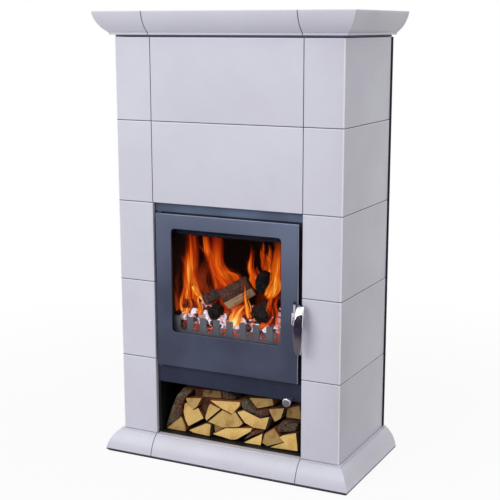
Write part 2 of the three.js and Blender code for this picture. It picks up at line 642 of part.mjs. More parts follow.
function buildCasing() {
  const panHalf = COAT_HALF + BASE_OVERHANG - PAN_INSET;
  const panY = [-BASE_OVERHANG + PAN_INSET, MOULDING_BACK - PAN_INSET];
  add('floor_pan', box([-panHalf, panHalf], panY, [0, PAN_HEIGHT]), BLACK_STEEL);

  const side = outline([
    [STEEL_HALF_WIDTH + CLEARANCE, STEEL_FRONT],
    [SIDE_SHEET_X, STEEL_FRONT],
    [SIDE_SHEET_X, BACK_SHEET_Y - CLEARANCE],
    [SIDE_SHEET_X - SHEET, BACK_SHEET_Y - CLEARANCE],
    [SIDE_SHEET_X - SHEET, STEEL_BACK],
    [STEEL_HALF_WIDTH + CLEARANCE, STEEL_BACK],
  ]);
  const sidePanel = raised(side, [BASE_TOP + CLEARANCE, COAT_TOP]);
  add('side_panel_right', sidePanel, GALVANISED);
  add('side_panel_left', mirrored(sidePanel), GALVANISED);

  const flange = COAT_HALF - BACK_FLANGE_INSET;
  const tray = outline([
    [-flange, COAT_DEPTH + CLEARANCE],
    [-flange + SHEET, COAT_DEPTH + CLEARANCE],
    [-flange + SHEET, BACK_SHEET_Y],
    [flange - SHEET, BACK_SHEET_Y],
    [flange - SHEET, COAT_DEPTH + CLEARANCE],
    [flange, COAT_DEPTH + CLEARANCE],
    [flange, BACK_SHEET_Y + SHEET],
    [-flange, BACK_SHEET_Y + SHEET],
  ]);
  add('back_panel', raised(tray, [BASE_TOP + CLEARANCE, COAT_TOP]), DARK_STEEL);

  const frameZ = [COAT_TOP + CLEARANCE, CROWN_BOTTOM - CLEARANCE];
  const outer = COAT_HALF - TOP_FRAME_INSET;
  const inner = outer - TOP_FRAME_BAR;
  const rail = outline([
    [-outer, TOP_FRAME_INSET],
    [outer, TOP_FRAME_INSET],
    [outer, BACK_SHEET_Y],
    [inner, BACK_SHEET_Y],
    [inner, TOP_FRAME_INSET + TOP_FRAME_BAR],
    [-inner, TOP_FRAME_INSET + TOP_FRAME_BAR],
    [-inner, BACK_SHEET_Y],
    [-outer, BACK_SHEET_Y],
  ]);
  add('top_frame', raised(rail, frameZ), DARK_STEEL);
}

function buildTopPlates() {
  const z = [CROWN_TOP - CROWN_SHELF + CLEARANCE, CROWN_TOP - CROWN_SHELF + CLEARANCE + PLATE];
  const half = CROWN_OPENING_HALF - CLEARANCE;
  const middleY = (GRILLE_FRONT + GRILLE_SPLIT_Y) / 2;
  const [slotLength, slotWidth] = GRILLE_SLOT;
  const slots = [];
  for (let column = 0; column < GRILLE_COLUMNS; column += 1) {
    const slotX = (column - (GRILLE_COLUMNS - 1) / 2) * GRILLE_COLUMN_PITCH;
    for (let row = 0; row < GRILLE_ROWS; row += 1) {
      const slotY = middleY + (row - (GRILLE_ROWS - 1) / 2) * GRILLE_ROW_PITCH;
      slots.push(box(about(slotX, slotLength), about(slotY, slotWidth), grown(z, OVERSHOOT)));
    }
  }
  const grille = box([-half, half], [GRILLE_FRONT + CLEARANCE, GRILLE_SPLIT_Y - CLEARANCE], z);
  add('convection_grille', cut(grille, ...slots), BLACK_STEEL);

  const plate = rectangle([-half, half], [GRILLE_SPLIT_Y, MOULDING_BACK - CLEARANCE]);
  plate.holes.push(circle(0, FLUE_Y, FLUE_RADIUS + CLEARANCE, 48, THREE.Path));
  add('flue_plate', raised(plate, z), BLACK_STEEL);
}

function buildFlue() {
  const inner = FLUE_RADIUS - FLUE_WALL;
  const seat = FIREBOX_TOP + PLATE + CLEARANCE;
  const foot = FIREBOX_TOP - FLUE_SPIGOT;
  const profile = [
    [inner, foot],
    [FLUE_RADIUS, foot],
    [FLUE_RADIUS, seat],
    [FLUE_RADIUS + FLUE_FLANGE, seat],
    [FLUE_RADIUS + FLUE_FLANGE, seat + PLATE],
    [FLUE_RADIUS, seat + PLATE],
    [FLUE_RADIUS, FLUE_TOP],
    [inner, FLUE_TOP],
    [inner, foot],
  ];
  add('flue_pipe', turned(profile, [0, FLUE_Y], 48), CAST_IRON);
}

// ---------------------------------------------------------------- fire box

function buildFirebox() {
  const outer = SHELL_HALF_WIDTH;
  const inner = SHELL_HALF_WIDTH - PLATE;
  const shell = outline([
    [-outer, SHELL_FRONT],
    [-inner, SHELL_FRONT],
    [-inner, SHELL_BACK - PLATE],
    [inner, SHELL_BACK - PLATE],
    [inner, SHELL_FRONT],
    [outer, SHELL_FRONT],
    [outer, SHELL_BACK],
    [-outer, SHELL_BACK],
  ]);
  add('firebox_shell', raised(shell, [FLOOR_TOP + CLEARANCE, FIREBOX_TOP - CLEARANCE]), BLACK_STEEL);

  const lid = rectangle([-outer, outer], [SHELL_FRONT, SHELL_BACK]);
  lid.holes.push(circle(0, FLUE_Y, FLUE_RADIUS + CLEARANCE, 48, THREE.Path));
  add('firebox_top', raised(lid, [FIREBOX_TOP, FIREBOX_TOP + PLATE]), BLACK_STEEL);

  const floorZ = [FLOOR_Z, FLOOR_TOP];
  const ports = [];
  for (let port = 0; port < PORTS; port += 1) {
    const x = (port - (PORTS - 1) / 2) * PORT_PITCH;
    ports.push(box(about(x, PORT_WIDTH), PORT_Y, grown(floorZ, OVERSHOOT)));
  }
  const floor = box([-outer, outer], [SHELL_FRONT, SHELL_BACK], floorZ);
  add('firebox_floor', cut(floor, ...ports), BLACK_STEEL);

  const frameY = [FRAME_FRONT, FRAME_BACK];
  const through = grown(frameY, OVERSHOOT);
  const sheet = box([-STEEL_HALF_WIDTH, STEEL_HALF_WIDTH], frameY, [NICHE_TOP_Z + CLEARANCE, FIREBOX_TOP]);
  const opening = box([-FIRE_OPENING_HALF, FIRE_OPENING_HALF], through, [FLOOR_TOP, FIRE_OPENING_TOP]);
  const hookSlot = box(HOOK_SLOT_X, through, HOOK_SLOT_Z);
  const rodHole = rodAlongY([AIR_X, AIR_Z], AIR_ROD_RADIUS + CLEARANCE, through);
  add('fire_frame', cut(sheet, opening, hookSlot, rodHole), GREY_STEEL);
}

function buildLining() {
  const sides = [SHELL_FRONT + LINER_SETBACK, LINING_END];
  const z = [FLOOR_TOP + CLEARANCE, LINER_TOP];
  const right = box([LINER_INNER, LINER_HALF], sides, z);
  add('liner_right', right, VERMICULITE);
  add('liner_left', mirrored(right), VERMICULITE);
  add('liner_back', box([-LINER_HALF, LINER_HALF], LINER_BACK_Y, z), VERMICULITE);
  const baffleZ = [LINER_TOP + CLEARANCE, LINER_TOP + CLEARANCE + LINER_THICKNESS];
  add('baffle', box([-LINER_HALF, LINER_HALF], [BAFFLE_FRONT, LINER_BACK_Y[1]], baffleZ), VERMICULITE);
}

function buildHearth() {
  const blockY = [GUARD_BACK + CLEARANCE, LINING_END];
  const block = box([HEARTH_HALF_GAP, LINER_INNER - CLEARANCE], blockY, [FLOOR_TOP + CLEARANCE, HEARTH_Z]);
  const ledge = box(
    [HEARTH_HALF_GAP - OVERSHOOT, GRATE_HALF_WIDTH + CLEARANCE],
    [GRATE_FRONT - CLEARANCE, GRATE_BACK + CLEARANCE],
    [HEARTH_Z - GRATE_THICKNESS - CLEARANCE, HEARTH_Z + OVERSHOOT],
  );
  const right = cut(block, ledge);
  add('hearth_right', right, FIRE_BRICK);
  add('hearth_left', mirrored(right), FIRE_BRICK);

  const z = [HEARTH_Z - GRATE_THICKNESS, HEARTH_Z];
  const middle = (GRATE_FRONT + GRATE_BACK) / 2;
  const spans = [
    [GRATE_FRONT + GRATE_RIM, middle - GRATE_RIB / 2],
    [middle + GRATE_RIB / 2, GRATE_BACK - GRATE_RIM],
  ];
  const slots = [];
  for (let slot = 0; slot < GRATE_SLOTS; slot += 1) {
    const x = (slot - (GRATE_SLOTS - 1) / 2) * GRATE_SLOT_PITCH;
    for (const span of spans) {
      slots.push(box(about(x, GRATE_SLOT), span, grown(z, OVERSHOOT)));
    }
  }
  const bars = box([-GRATE_HALF_WIDTH, GRATE_HALF_WIDTH], [GRATE_FRONT, GRATE_BACK], z);
  add('grate', cut(bars, ...slots), CAST_IRON);
}

// ---------------------------------------------------------------- ash pan

function buildAshPan() {
  const bottom = FLOOR_TOP + CLEARANCE;
  const outer = box([-PAN_HALF_WIDTH, PAN_HALF_WIDTH], PAN_Y, [bottom, PAN_TOP]);
  const inner = box(
    [-PAN_HALF_WIDTH + PAN_WALL, PAN_HALF_WIDTH - PAN_WALL],
    [PAN_Y[0] + PAN_WALL, PAN_Y[1] - PAN_WALL],
    [bottom + PAN_WALL, PAN_TOP + OVERSHOOT],
  );
  const pullY = [PAN_Y[0] - PAN_PULL_REACH, PAN_Y[0] + PAN_WALL / 2];
  const pullZ = PAN_PULL_RISE.map((rise) => bottom + rise);
  const pull = box(about(0, PAN_PULL_WIDTH), pullY, pullZ);
  add('ash_pan', join(cut(outer, inner), pull), GALVANISED);
}

function buildLogGuard() {
  const [bottom, top] = GUARD_Z;
  const radius = GUARD_GAP_WIDTH / 2;
  const gaps = [];
  for (let gap = GUARD_GAPS - 1; gap >= 0; gap -= 1) {
    const x = (gap - (GUARD_GAPS - 1) / 2) * GUARD_PITCH;
    gaps.push([x + radius, top], ...arcPoints(x, GUARD_GAP_BOTTOM + radius, radius, 0, -180, 12), [x - radius, top]);
  }
  const shape = outline([
    [-GUARD_HALF_WIDTH, bottom],
    [GUARD_HALF_WIDTH, bottom],
    [GUARD_HALF_WIDTH, top],
    ...gaps,
    [-GUARD_HALF_WIDTH, top],
  ]);
  const comb = runBack(shape, [GUARD_FRONT, GUARD_BACK]);
  const footZ = [HEARTH_Z + CLEARANCE, HEARTH_Z + CLEARANCE + PLATE];
  const foot = box(GUARD_FOOT_X, [GUARD_FRONT + PLATE / 2, GUARD_FRONT + GUARD_FOOT_DEPTH], footZ);
  add('log_guard', join(comb, foot, mirrored(foot)), CAST_IRON);

  const [washLow, washHigh] = WASH_Z;
  const washHalf = FIRE_OPENING_HALF - WASH_END_GAP;
  const wash = outline([
    [SHELL_FRONT, washLow],
    [SHELL_FRONT + SHEET, washLow],
    [SHELL_FRONT + SHEET, washHigh - SHEET],
    [SHELL_FRONT + WASH_SHELF, washHigh - SHEET],
    [SHELL_FRONT + WASH_SHELF, washHigh],
    [SHELL_FRONT, washHigh],
  ]);
  add('air_wash_plate', runAcross(wash, [-washHalf, washHalf]), DARK_STEEL);
}

// ---------------------------------------------------------------- front steelwork and niche

function buildFrontSteel() {
  const lipTop = STRIP_Z[1];
  const strip = outline([
    [STEEL_FRONT, STRIP_Z[0]],
    [STEEL_BACK, STRIP_Z[0]],
    [STEEL_BACK, lipTop],
    [STEEL_FRONT - STRIP_LIP, lipTop],
    [STEEL_FRONT - STRIP_LIP, lipTop - SHEET],
    [STEEL_FRONT, lipTop - SHEET],
  ]);
  const half = TILE_EDGE_X - CLEARANCE;
  add('front_strip', runAcross(strip, [-half, half]), GREY_STEEL);

  const band = rectangle([-STEEL_HALF_WIDTH, STEEL_HALF_WIDTH], BAND_Z);
  band.holes.push(circle(AIR_X, AIR_Z, AIR_ROD_RADIUS + CLEARANCE, 24, THREE.Path));
  add('front_band', runBack(band, [STEEL_FRONT, STEEL_BACK]), GREY_STEEL);
}

function buildNiche() {
  const floorZ = [BASE_TOP + CLEARANCE, BASE_TOP + CLEARANCE + SHEET];
  const back = BACK_SHEET_Y - CLEARANCE;
  const wall = NICHE_HALF_WIDTH + SHEET;
  add('niche_floor', box([-wall, wall], [STEEL_FRONT, back], floorZ), BLACK_STEEL);

  const side = outline([
    [NICHE_HALF_WIDTH, STEEL_FRONT],
    [STEEL_HALF_WIDTH, STEEL_FRONT],
    [STEEL_HALF_WIDTH, STEEL_BACK],
    [wall, STEEL_BACK],
    [wall, back],
    [NICHE_HALF_WIDTH, back],
  ]);
  const sideZ = [floorZ[1] + CLEARANCE, BAND_Z[0] - CLEARANCE];
  const right = raised(side, sideZ);
  add('niche_right', right, DARK_STEEL);
  add('niche_left', mirrored(right), DARK_STEEL);

  const topZ = [BAND_Z[0], BAND_Z[0] + SHEET];
  add('niche_top', box([-wall, wall], [FRAME_FRONT, back], topZ), BLACK_STEEL);
}

// ---------------------------------------------------------------- door

function ring([outerHalf, outerZ, outerRadius], [innerHalf, innerZ, innerRadius]) {
  const shape = rectangle([-outerHalf, outerHalf], outerZ, outerRadius);
  shape.holes.push(rectangle([-innerHalf, innerHalf], innerZ, innerRadius, THREE.Path));
  return shape;
}

function buildDoor() {
  const leafShape = ring([DOOR_HALF, DOOR_Z, 0], [WINDOW_HALF, WINDOW_Z, WINDOW_RADIUS]);
  const leaf = runBack(leafShape, [DOOR_FRONT, DOOR_BACK], DOOR_BEVEL);
  const boreRadius = HINGE_PIN_RADIUS + PIN_CLEARANCE;
  const boreDepth = HINGE_PIN_LENGTH + HINGE_BORE_ROOM;
  const upper = rod([HINGE_X, HINGE_Y], boreRadius, [DOOR_Z[1] - boreDepth, DOOR_Z[1] + OVERSHOOT], 24);
  const lower = rod([HINGE_X, HINGE_Y], boreRadius, [DOOR_Z[0] - OVERSHOOT, DOOR_Z[0] + boreDepth], 24);
  add('door_frame', cut(leaf, upper, lower), GREY_STEEL);

  const glassHalf = WINDOW_HALF + GLASS_LAP;
  const glassZ = grown(WINDOW_Z, GLASS_LAP);
  const glassY = [DOOR_BACK + CLEARANCE, DOOR_BACK + CLEARANCE + GLASS_THICKNESS];
  add('door_glass', runBack(rectangle([-glassHalf, glassHalf], glassZ, GLASS_CORNER), glassY), GLASS);

  const rimInner = glassHalf + CLEARANCE;
  const rimZ = grown(glassZ, CLEARANCE);
  const outside = [rimInner + RETAINER_RIM, grown(rimZ, RETAINER_RIM), GLASS_CORNER + SHEET];
  const rim = ring(outside, [rimInner, rimZ, GLASS_CORNER]);
  const flat = ring(outside, [glassHalf - RETAINER_LAP, grown(glassZ, -RETAINER_LAP), WINDOW_RADIUS]);
  const flatFront = glassY[1] + CLEARANCE;
  const retainer = join(
    runBack(rim, [glassY[0], flatFront + SHEET / 2]),
    runBack(flat, [flatFront, flatFront + SHEET]),
  );
  add('glass_frame', retainer, DARK_STEEL);

  const gasket = ring(
    [GASKET_HALF_WIDTH, GASKET_Z, GASKET_RADIUS],
    [GASKET_HALF_WIDTH - GASKET_ROPE, grown(GASKET_Z, -GASKET_ROPE), GASKET_RADIUS - GASKET_ROPE],
  );
  add('door_gasket', runBack(gasket, [DOOR_BACK + CLEARANCE, FRAME_FRONT - CLEARANCE], GASKET_BEVEL), ROPE);
}

// One hinge half: a tongue fixed to the fire frame, with a pin that stands into the door's edge.
function hinge(tongueZ, pinZ) {
  const reach = HINGE_TONGUE_HALF;
  const plan = outline([
    ...arcPoints(HINGE_X, HINGE_Y, reach, -180, 0, 10),
    [HINGE_X + reach, FRAME_FRONT - CLEARANCE],
    [HINGE_X - reach, FRAME_FRONT - CLEARANCE],
  ]);
  return join(raised(plan, tongueZ), rod([HINGE_X, HINGE_Y], HINGE_PIN_RADIUS, pinZ));
}

function buildHinges() {
  const upperBottom = DOOR_Z[1] + CLEARANCE;
  const lowerTop = DOOR_Z[0] - CLEARANCE;
  const upper = hinge(
    [upperBottom, upperBottom + HINGE_TONGUE],
    [upperBottom - HINGE_PIN_LENGTH, upperBottom + HINGE_TONGUE / 2],
  );
  const lower = hinge(
    [lowerTop - HINGE_TONGUE, lowerTop],
    [lowerTop - HINGE_TONGUE / 2, lowerTop + HINGE_PIN_LENGTH],
  );
  add('hinge_upper', upper, GREY_STEEL);
  add('hinge_lower', lower, GREY_STEEL);
}

// ---------------------------------------------------------------- handle and latch

class SpringCurve extends THREE.Curve {
  getPoint(t, target = new THREE.Vector3()) {
    const angle = t * SPRING_TURNS * Math.PI * 2;
    const low = LUG_Z[1][1] + CLEARANCE + SPRING_WIRE;
    const high = CAP_Z[0] - CLEARANCE - SPRING_WIRE;
    return target.set(
      HANDLE_X + SPRING_RADIUS * Math.cos(angle),
      HANDLE_Y + SPRING_RADIUS * Math.sin(angle),
      low + t * (high - low),
    );
  }
}

function lug([z0, z1]) {
  const wall = DOOR_FRONT - CLEARANCE - SHEET;
  const plan = outline([
    ...arcPoints(HANDLE_X, HANDLE_Y, LUG_RADIUS, -180, 0, 12),
    [HANDLE_X + LUG_RADIUS - LUG_CHEEK, wall + SHEET / 2],
    [HANDLE_X - LUG_RADIUS, wall + SHEET / 2],
  ]);
  return raised(plan, [z0, z1]);
}

function buildHandleMount() {
  const wall = [DOOR_FRONT - CLEARANCE - SHEET, DOOR_FRONT - CLEARANCE];
  const foot = box(BRACKET_X, wall, BRACKET_Z);
  const hole = rod([HANDLE_X, HANDLE_Y], HANDLE_PIN_RADIUS + PIN_CLEARANCE, grown(BRACKET_Z, OVERSHOOT));
  add('handle_bracket', cut(join(foot, lug(LUG_Z[0]), lug(LUG_Z[1])), hole), CHROME);

  const [pinLow, pinHigh] = HANDLE_PIN_Z;
  const headTop = LUG_Z[0][0] - CLEARANCE;
  const pin = [
    [0, pinLow],
    [HANDLE_PIN_HEAD, pinLow],
    [HANDLE_PIN_HEAD, headTop],
    [HANDLE_PIN_RADIUS, headTop],
    [HANDLE_PIN_RADIUS, pinHigh],
    [0, pinHigh],
  ];
  add('handle_pin', turned(pin, [HANDLE_X, HANDLE_Y], 20), CHROME);

  const [capLow, capHigh] = CAP_Z;
  const socket = HANDLE_PIN_RADIUS + PIN_CLEARANCE;
  const cap = [
    [socket, capLow],
    [CAP_RADIUS, capLow],
    [CAP_RADIUS, capHigh - CAP_CHAMFER],
    [CAP_RADIUS - CAP_CHAMFER, capHigh],
    [0, capHigh],
    [0, pinHigh + CLEARANCE],
    [socket, pinHigh + CLEARANCE],
    [socket, capLow],
  ];
  add('pin_cap', turned(cap, [HANDLE_X, HANDLE_Y], 24), BLACK_PLASTIC);

  const wire = new THREE.ExtrudeGeometry(circle(0, 0, SPRING_WIRE, 6), {
    steps: SPRING_TURNS * SPRING_STEPS_PER_TURN,
    extrudePath: new SpringCurve(),
  });
  add('handle_spring', wire, SPRING_STEEL);
}

function smoothOutline(front, back) {
  const shape = new THREE.Shape();
  const points = (list) => list.map(([u, v]) => new THREE.Vector2(u, v));
  shape.moveTo(...front[0]);
  shape.splineThru(points(front.slice(1)));
  shape.lineTo(...back[0]);
  shape.splineThru(points(back.slice(1)));
  shape.closePath();
  return shape;
}

// The grip is what its bent side view and its leaf-shaped front view have in common.
function buildLever() {
  const lifted = (curve) => curve.map(([y, height]) => [y, HANDLE_Z + height]);
  const sideView = smoothOutline(lifted(GRIP_FRONT_CURVE), lifted(GRIP_REAR_CURVE));
  const right = GRIP_HALF_WIDTHS.map(([half, height]) => [GRIP_X + half, HANDLE_Z + height]);
  const left = right.map(([x, z]) => [2 * GRIP_X - x, z]).reverse();
  const frontView = smoothOutline(right, left);
  const grip = common(
    runAcross(sideView, about(GRIP_X, GRIP_CUT)),
    runBack(frontView, [-GRIP_CUT, 0]),
  );
  const arm = box([HANDLE_X + HUB_RADIUS / 2, GRIP_X - ARM_LAP], ARM_Y, [HOOK_Z[1] + CLEARANCE, HANDLE_Z + ARM_TOP]);
  const hubZ = [LUG_Z[0][1] + CLEARANCE, LUG_Z[1][0] - CLEARANCE];
  const hub = rod([HANDLE_X, HANDLE_Y], HUB_RADIUS, hubZ, 24);
  const bore = rod([HANDLE_X, HANDLE_Y], HANDLE_PIN_RADIUS + PIN_CLEARANCE, grown(hubZ, OVERSHOOT));
  add('handle_lever', cut(join(grip, arm, hub), bore), CHROME);

  const noseFront = FRAME_BACK + CLEARANCE;
  const hook = outline([
    [HOOK_SHANK_X[0], HOOK_FRONT],
    [HOOK_SHANK_X[1], HOOK_FRONT],
    [HOOK_SHANK_X[1], HOOK_SHANK_BACK],
    [HOOK_NECK_X, HOOK_NECK_Y[0]],
    [HOOK_NECK_X, HOOK_NECK_Y[1]],
    [HOOK_NECK_X - SHEET, HOOK_NOSE_BACK],
    [HOOK_NOSE_X + HOOK_NOSE_CHAMFER, HOOK_NOSE_BACK],
    [HOOK_NOSE_X, HOOK_NOSE_BACK - HOOK_NOSE_CHAMFER],
    [HOOK_NOSE_X, noseFront],
    [HOOK_SHANK_X[0], noseFront],
  ]);
  add('latch_hook', raised(hook, HOOK_Z), SPRING_STEEL);
}

// ---------------------------------------------------------------- air control

function buildAirControl() {
  const shutterTop = FLOOR_Z - CLEARANCE;
  const shutter = box(SHUTTER_X, SHUTTER_Y, [shutterTop - SHUTTER_THICKNESS, shutterTop]);
  const [tabWidth, tabThickness] = SHUTTER_TAB;
  const tab = box(
    about(AIR_X, tabWidth),
    [SHUTTER_Y[1] - tabThickness, SHUTTER_Y[1]],
    [AIR_Z - SHUTTER_TAB_DROP, shutterTop - SHUTTER_THICKNESS / 2],
  );
  const spindle = rodAlongY([AIR_X, AIR_Z], AIR_ROD_RADIUS, AIR_ROD_Y);
  add('air_slide', join(shutter, tab, spindle), SPRING_STEEL);

  const [front, back] = AIR_KNOB_Y;
  const socket = AIR_ROD_RADIUS + PIN_CLEARANCE;
  const profile = [
    [0, front],
    [AIR_KNOB_RADIUS - AIR_KNOB_EDGE, front],
    [AIR_KNOB_RADIUS, front + AIR_KNOB_EDGE],
    [AIR_KNOB_RADIUS, front + AIR_KNOB_HEAD],
    [AIR_KNOB_NECK, back - AIR_KNOB_EDGE],
    [AIR_KNOB_NECK, back],
    [socket, back],
    [socket, AIR_ROD_Y[0] - CLEARANCE],
    [0, AIR_ROD_Y[0] - CLEARANCE],
  ];
  const points = profile.map(([radius, y]) => new THREE.Vector2(radius, y));
  const knob = new THREE.LatheGeometry(points, 32).translate(AIR_X, 0, AIR_Z);
  add('air_knob', knob, CHROME);
}

// ---------------------------------------------------------------- build

buildTiles();
buildMouldings();
buildCasing();
buildTopPlates();
buildFlue();
buildFirebox();
buildLining();
buildHearth();
buildAshPan();
buildLogGuard();
buildFrontSteel();
buildNiche();
buildDoor();
buildHinges();
buildHandleMount();
buildLever();
buildAirControl();

// The stove is centred in depth between the crown's front edge and the back of the mouldings.
assembly.position.y = -(MOULDING_BACK - CROWN_OVERHANG) / 2;

const stove = new THREE.Group();
stove.name = 'tiled_stove';
stove.add(assembly);

export default stove;
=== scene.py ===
"""A tall tiled wood stove with a fire behind its window and split logs in the niche below.

Lengths are in metres in the stove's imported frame: +X to the right along the front, +Y to the wall, +Z up.
Tables of a shape's own points are in millimetres, with depth counted back from the face of the tiles.
"""
import sys
import logging
import math
from dataclasses import dataclass
from enum import Enum
from typing import Optional, Sequence, Union

import bmesh
import bpy
import numpy as np
from mathutils import Matrix, Vector


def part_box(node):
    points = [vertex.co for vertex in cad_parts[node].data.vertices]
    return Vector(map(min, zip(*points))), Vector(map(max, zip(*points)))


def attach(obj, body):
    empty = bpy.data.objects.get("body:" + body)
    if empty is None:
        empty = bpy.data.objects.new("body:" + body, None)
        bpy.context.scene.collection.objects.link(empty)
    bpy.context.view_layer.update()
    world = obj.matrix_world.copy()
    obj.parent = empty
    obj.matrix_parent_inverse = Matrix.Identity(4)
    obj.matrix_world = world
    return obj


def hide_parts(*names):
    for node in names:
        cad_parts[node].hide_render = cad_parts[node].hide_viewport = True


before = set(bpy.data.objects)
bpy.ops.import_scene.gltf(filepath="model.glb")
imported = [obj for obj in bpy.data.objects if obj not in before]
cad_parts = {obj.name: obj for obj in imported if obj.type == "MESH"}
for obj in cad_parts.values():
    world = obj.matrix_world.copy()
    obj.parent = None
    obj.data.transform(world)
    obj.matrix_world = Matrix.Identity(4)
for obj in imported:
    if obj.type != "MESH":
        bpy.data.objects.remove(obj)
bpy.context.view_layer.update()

LOG = logging.getLogger("stove")
MM = 0.001
TILE_FACE_Y = -0.147
Colour = tuple[float, float, float]
Operand = Union["Signal", float]


# ---------------------------------------------------------------- shader expressions


def rgb(red: int, green: int, blue: int) -> Colour:
    """Turns a screen colour into the linear colour that a shader takes.

    Args:
        red: the red channel, 0 to 255.
        green: the green channel.
        blue: the blue channel.

    Returns:
        The three channels, 0 to 1.
    """
    shares = np.array([red, green, blue]) / 255
    linear = np.where(shares <= 0.04045, shares / 12.92, ((shares + 0.055) / 1.055) ** 2.4)
    return tuple(float(channel) for channel in linear)


class Signal:
    """One output of a material's nodes, which stands in Python expressions as a number does."""

    def __init__(self, bench: "Bench", socket: bpy.types.NodeSocket) -> None:
        """Keeps the output and the bench whose nodes it belongs to."""
        self.bench = bench
        self.socket = socket

    def __add__(self, other: Operand) -> "Signal":
        """Adds."""
        return self.bench.math("ADD", self, other)

    def __radd__(self, other: Operand) -> "Signal":
        """Adds, from the right."""
        return self.bench.math("ADD", other, self)

    def __sub__(self, other: Operand) -> "Signal":
        """Takes away."""
        return self.bench.math("SUBTRACT", self, other)

    def __rsub__(self, other: Operand) -> "Signal":
        """Is taken away."""
        return self.bench.math("SUBTRACT", other, self)

    def __mul__(self, other: Operand) -> "Signal":
        """Multiplies."""
        return self.bench.math("MULTIPLY", self, other)

    def __rmul__(self, other: Operand) -> "Signal":
        """Multiplies, from the right."""
        return self.bench.math("MULTIPLY", other, self)

    def __truediv__(self, other: Operand) -> "Signal":
        """Divides."""
        return self.bench.math("DIVIDE", self, other)

    def __rtruediv__(self, other: Operand) -> "Signal":
        """Divides into a number."""
        return self.bench.math("DIVIDE", other, self)

    def __pow__(self, other: Operand) -> "Signal":
        """Raises to a power."""
        return self.bench.math("POWER", self, other)

    def __rpow__(self, other: Operand) -> "Signal":
        """Is the power that a number is raised to."""
        return self.bench.math("POWER", other, self)

    def __abs__(self) -> "Signal":
        """Drops the sign."""
        return self.bench.math("ABSOLUTE", self)

    def wave(self) -> "Signal":
        """Takes the sine, brought to run from 0 to 1."""
        return self.bench.math("SINE", self) * 0.5 + 0.5

    def rise(self, low: float, high: float) -> "Signal":
        """Climbs smoothly from 0 to 1.

        Args:
            low: where it leaves 0.
            high: where it reaches 1.

        Returns:
            The climb, which stays within 0 and 1.
        """
        settings = {"interpolation_type": "SMOOTHSTEP"}
        inputs = {"Value": self, "From Min": low, "From Max": high, "To Min": 0.0, "To Max": 1.0}
        return self.bench.out("ShaderNodeMapRange", settings, inputs)

    def held(self, low: float = 0.0, high: float = 1.0) -> "Signal":
        """Keeps the value between two limits."""
        return self.bench.out("ShaderNodeClamp", {}, {"Value": self, "Min": low, "Max": high})


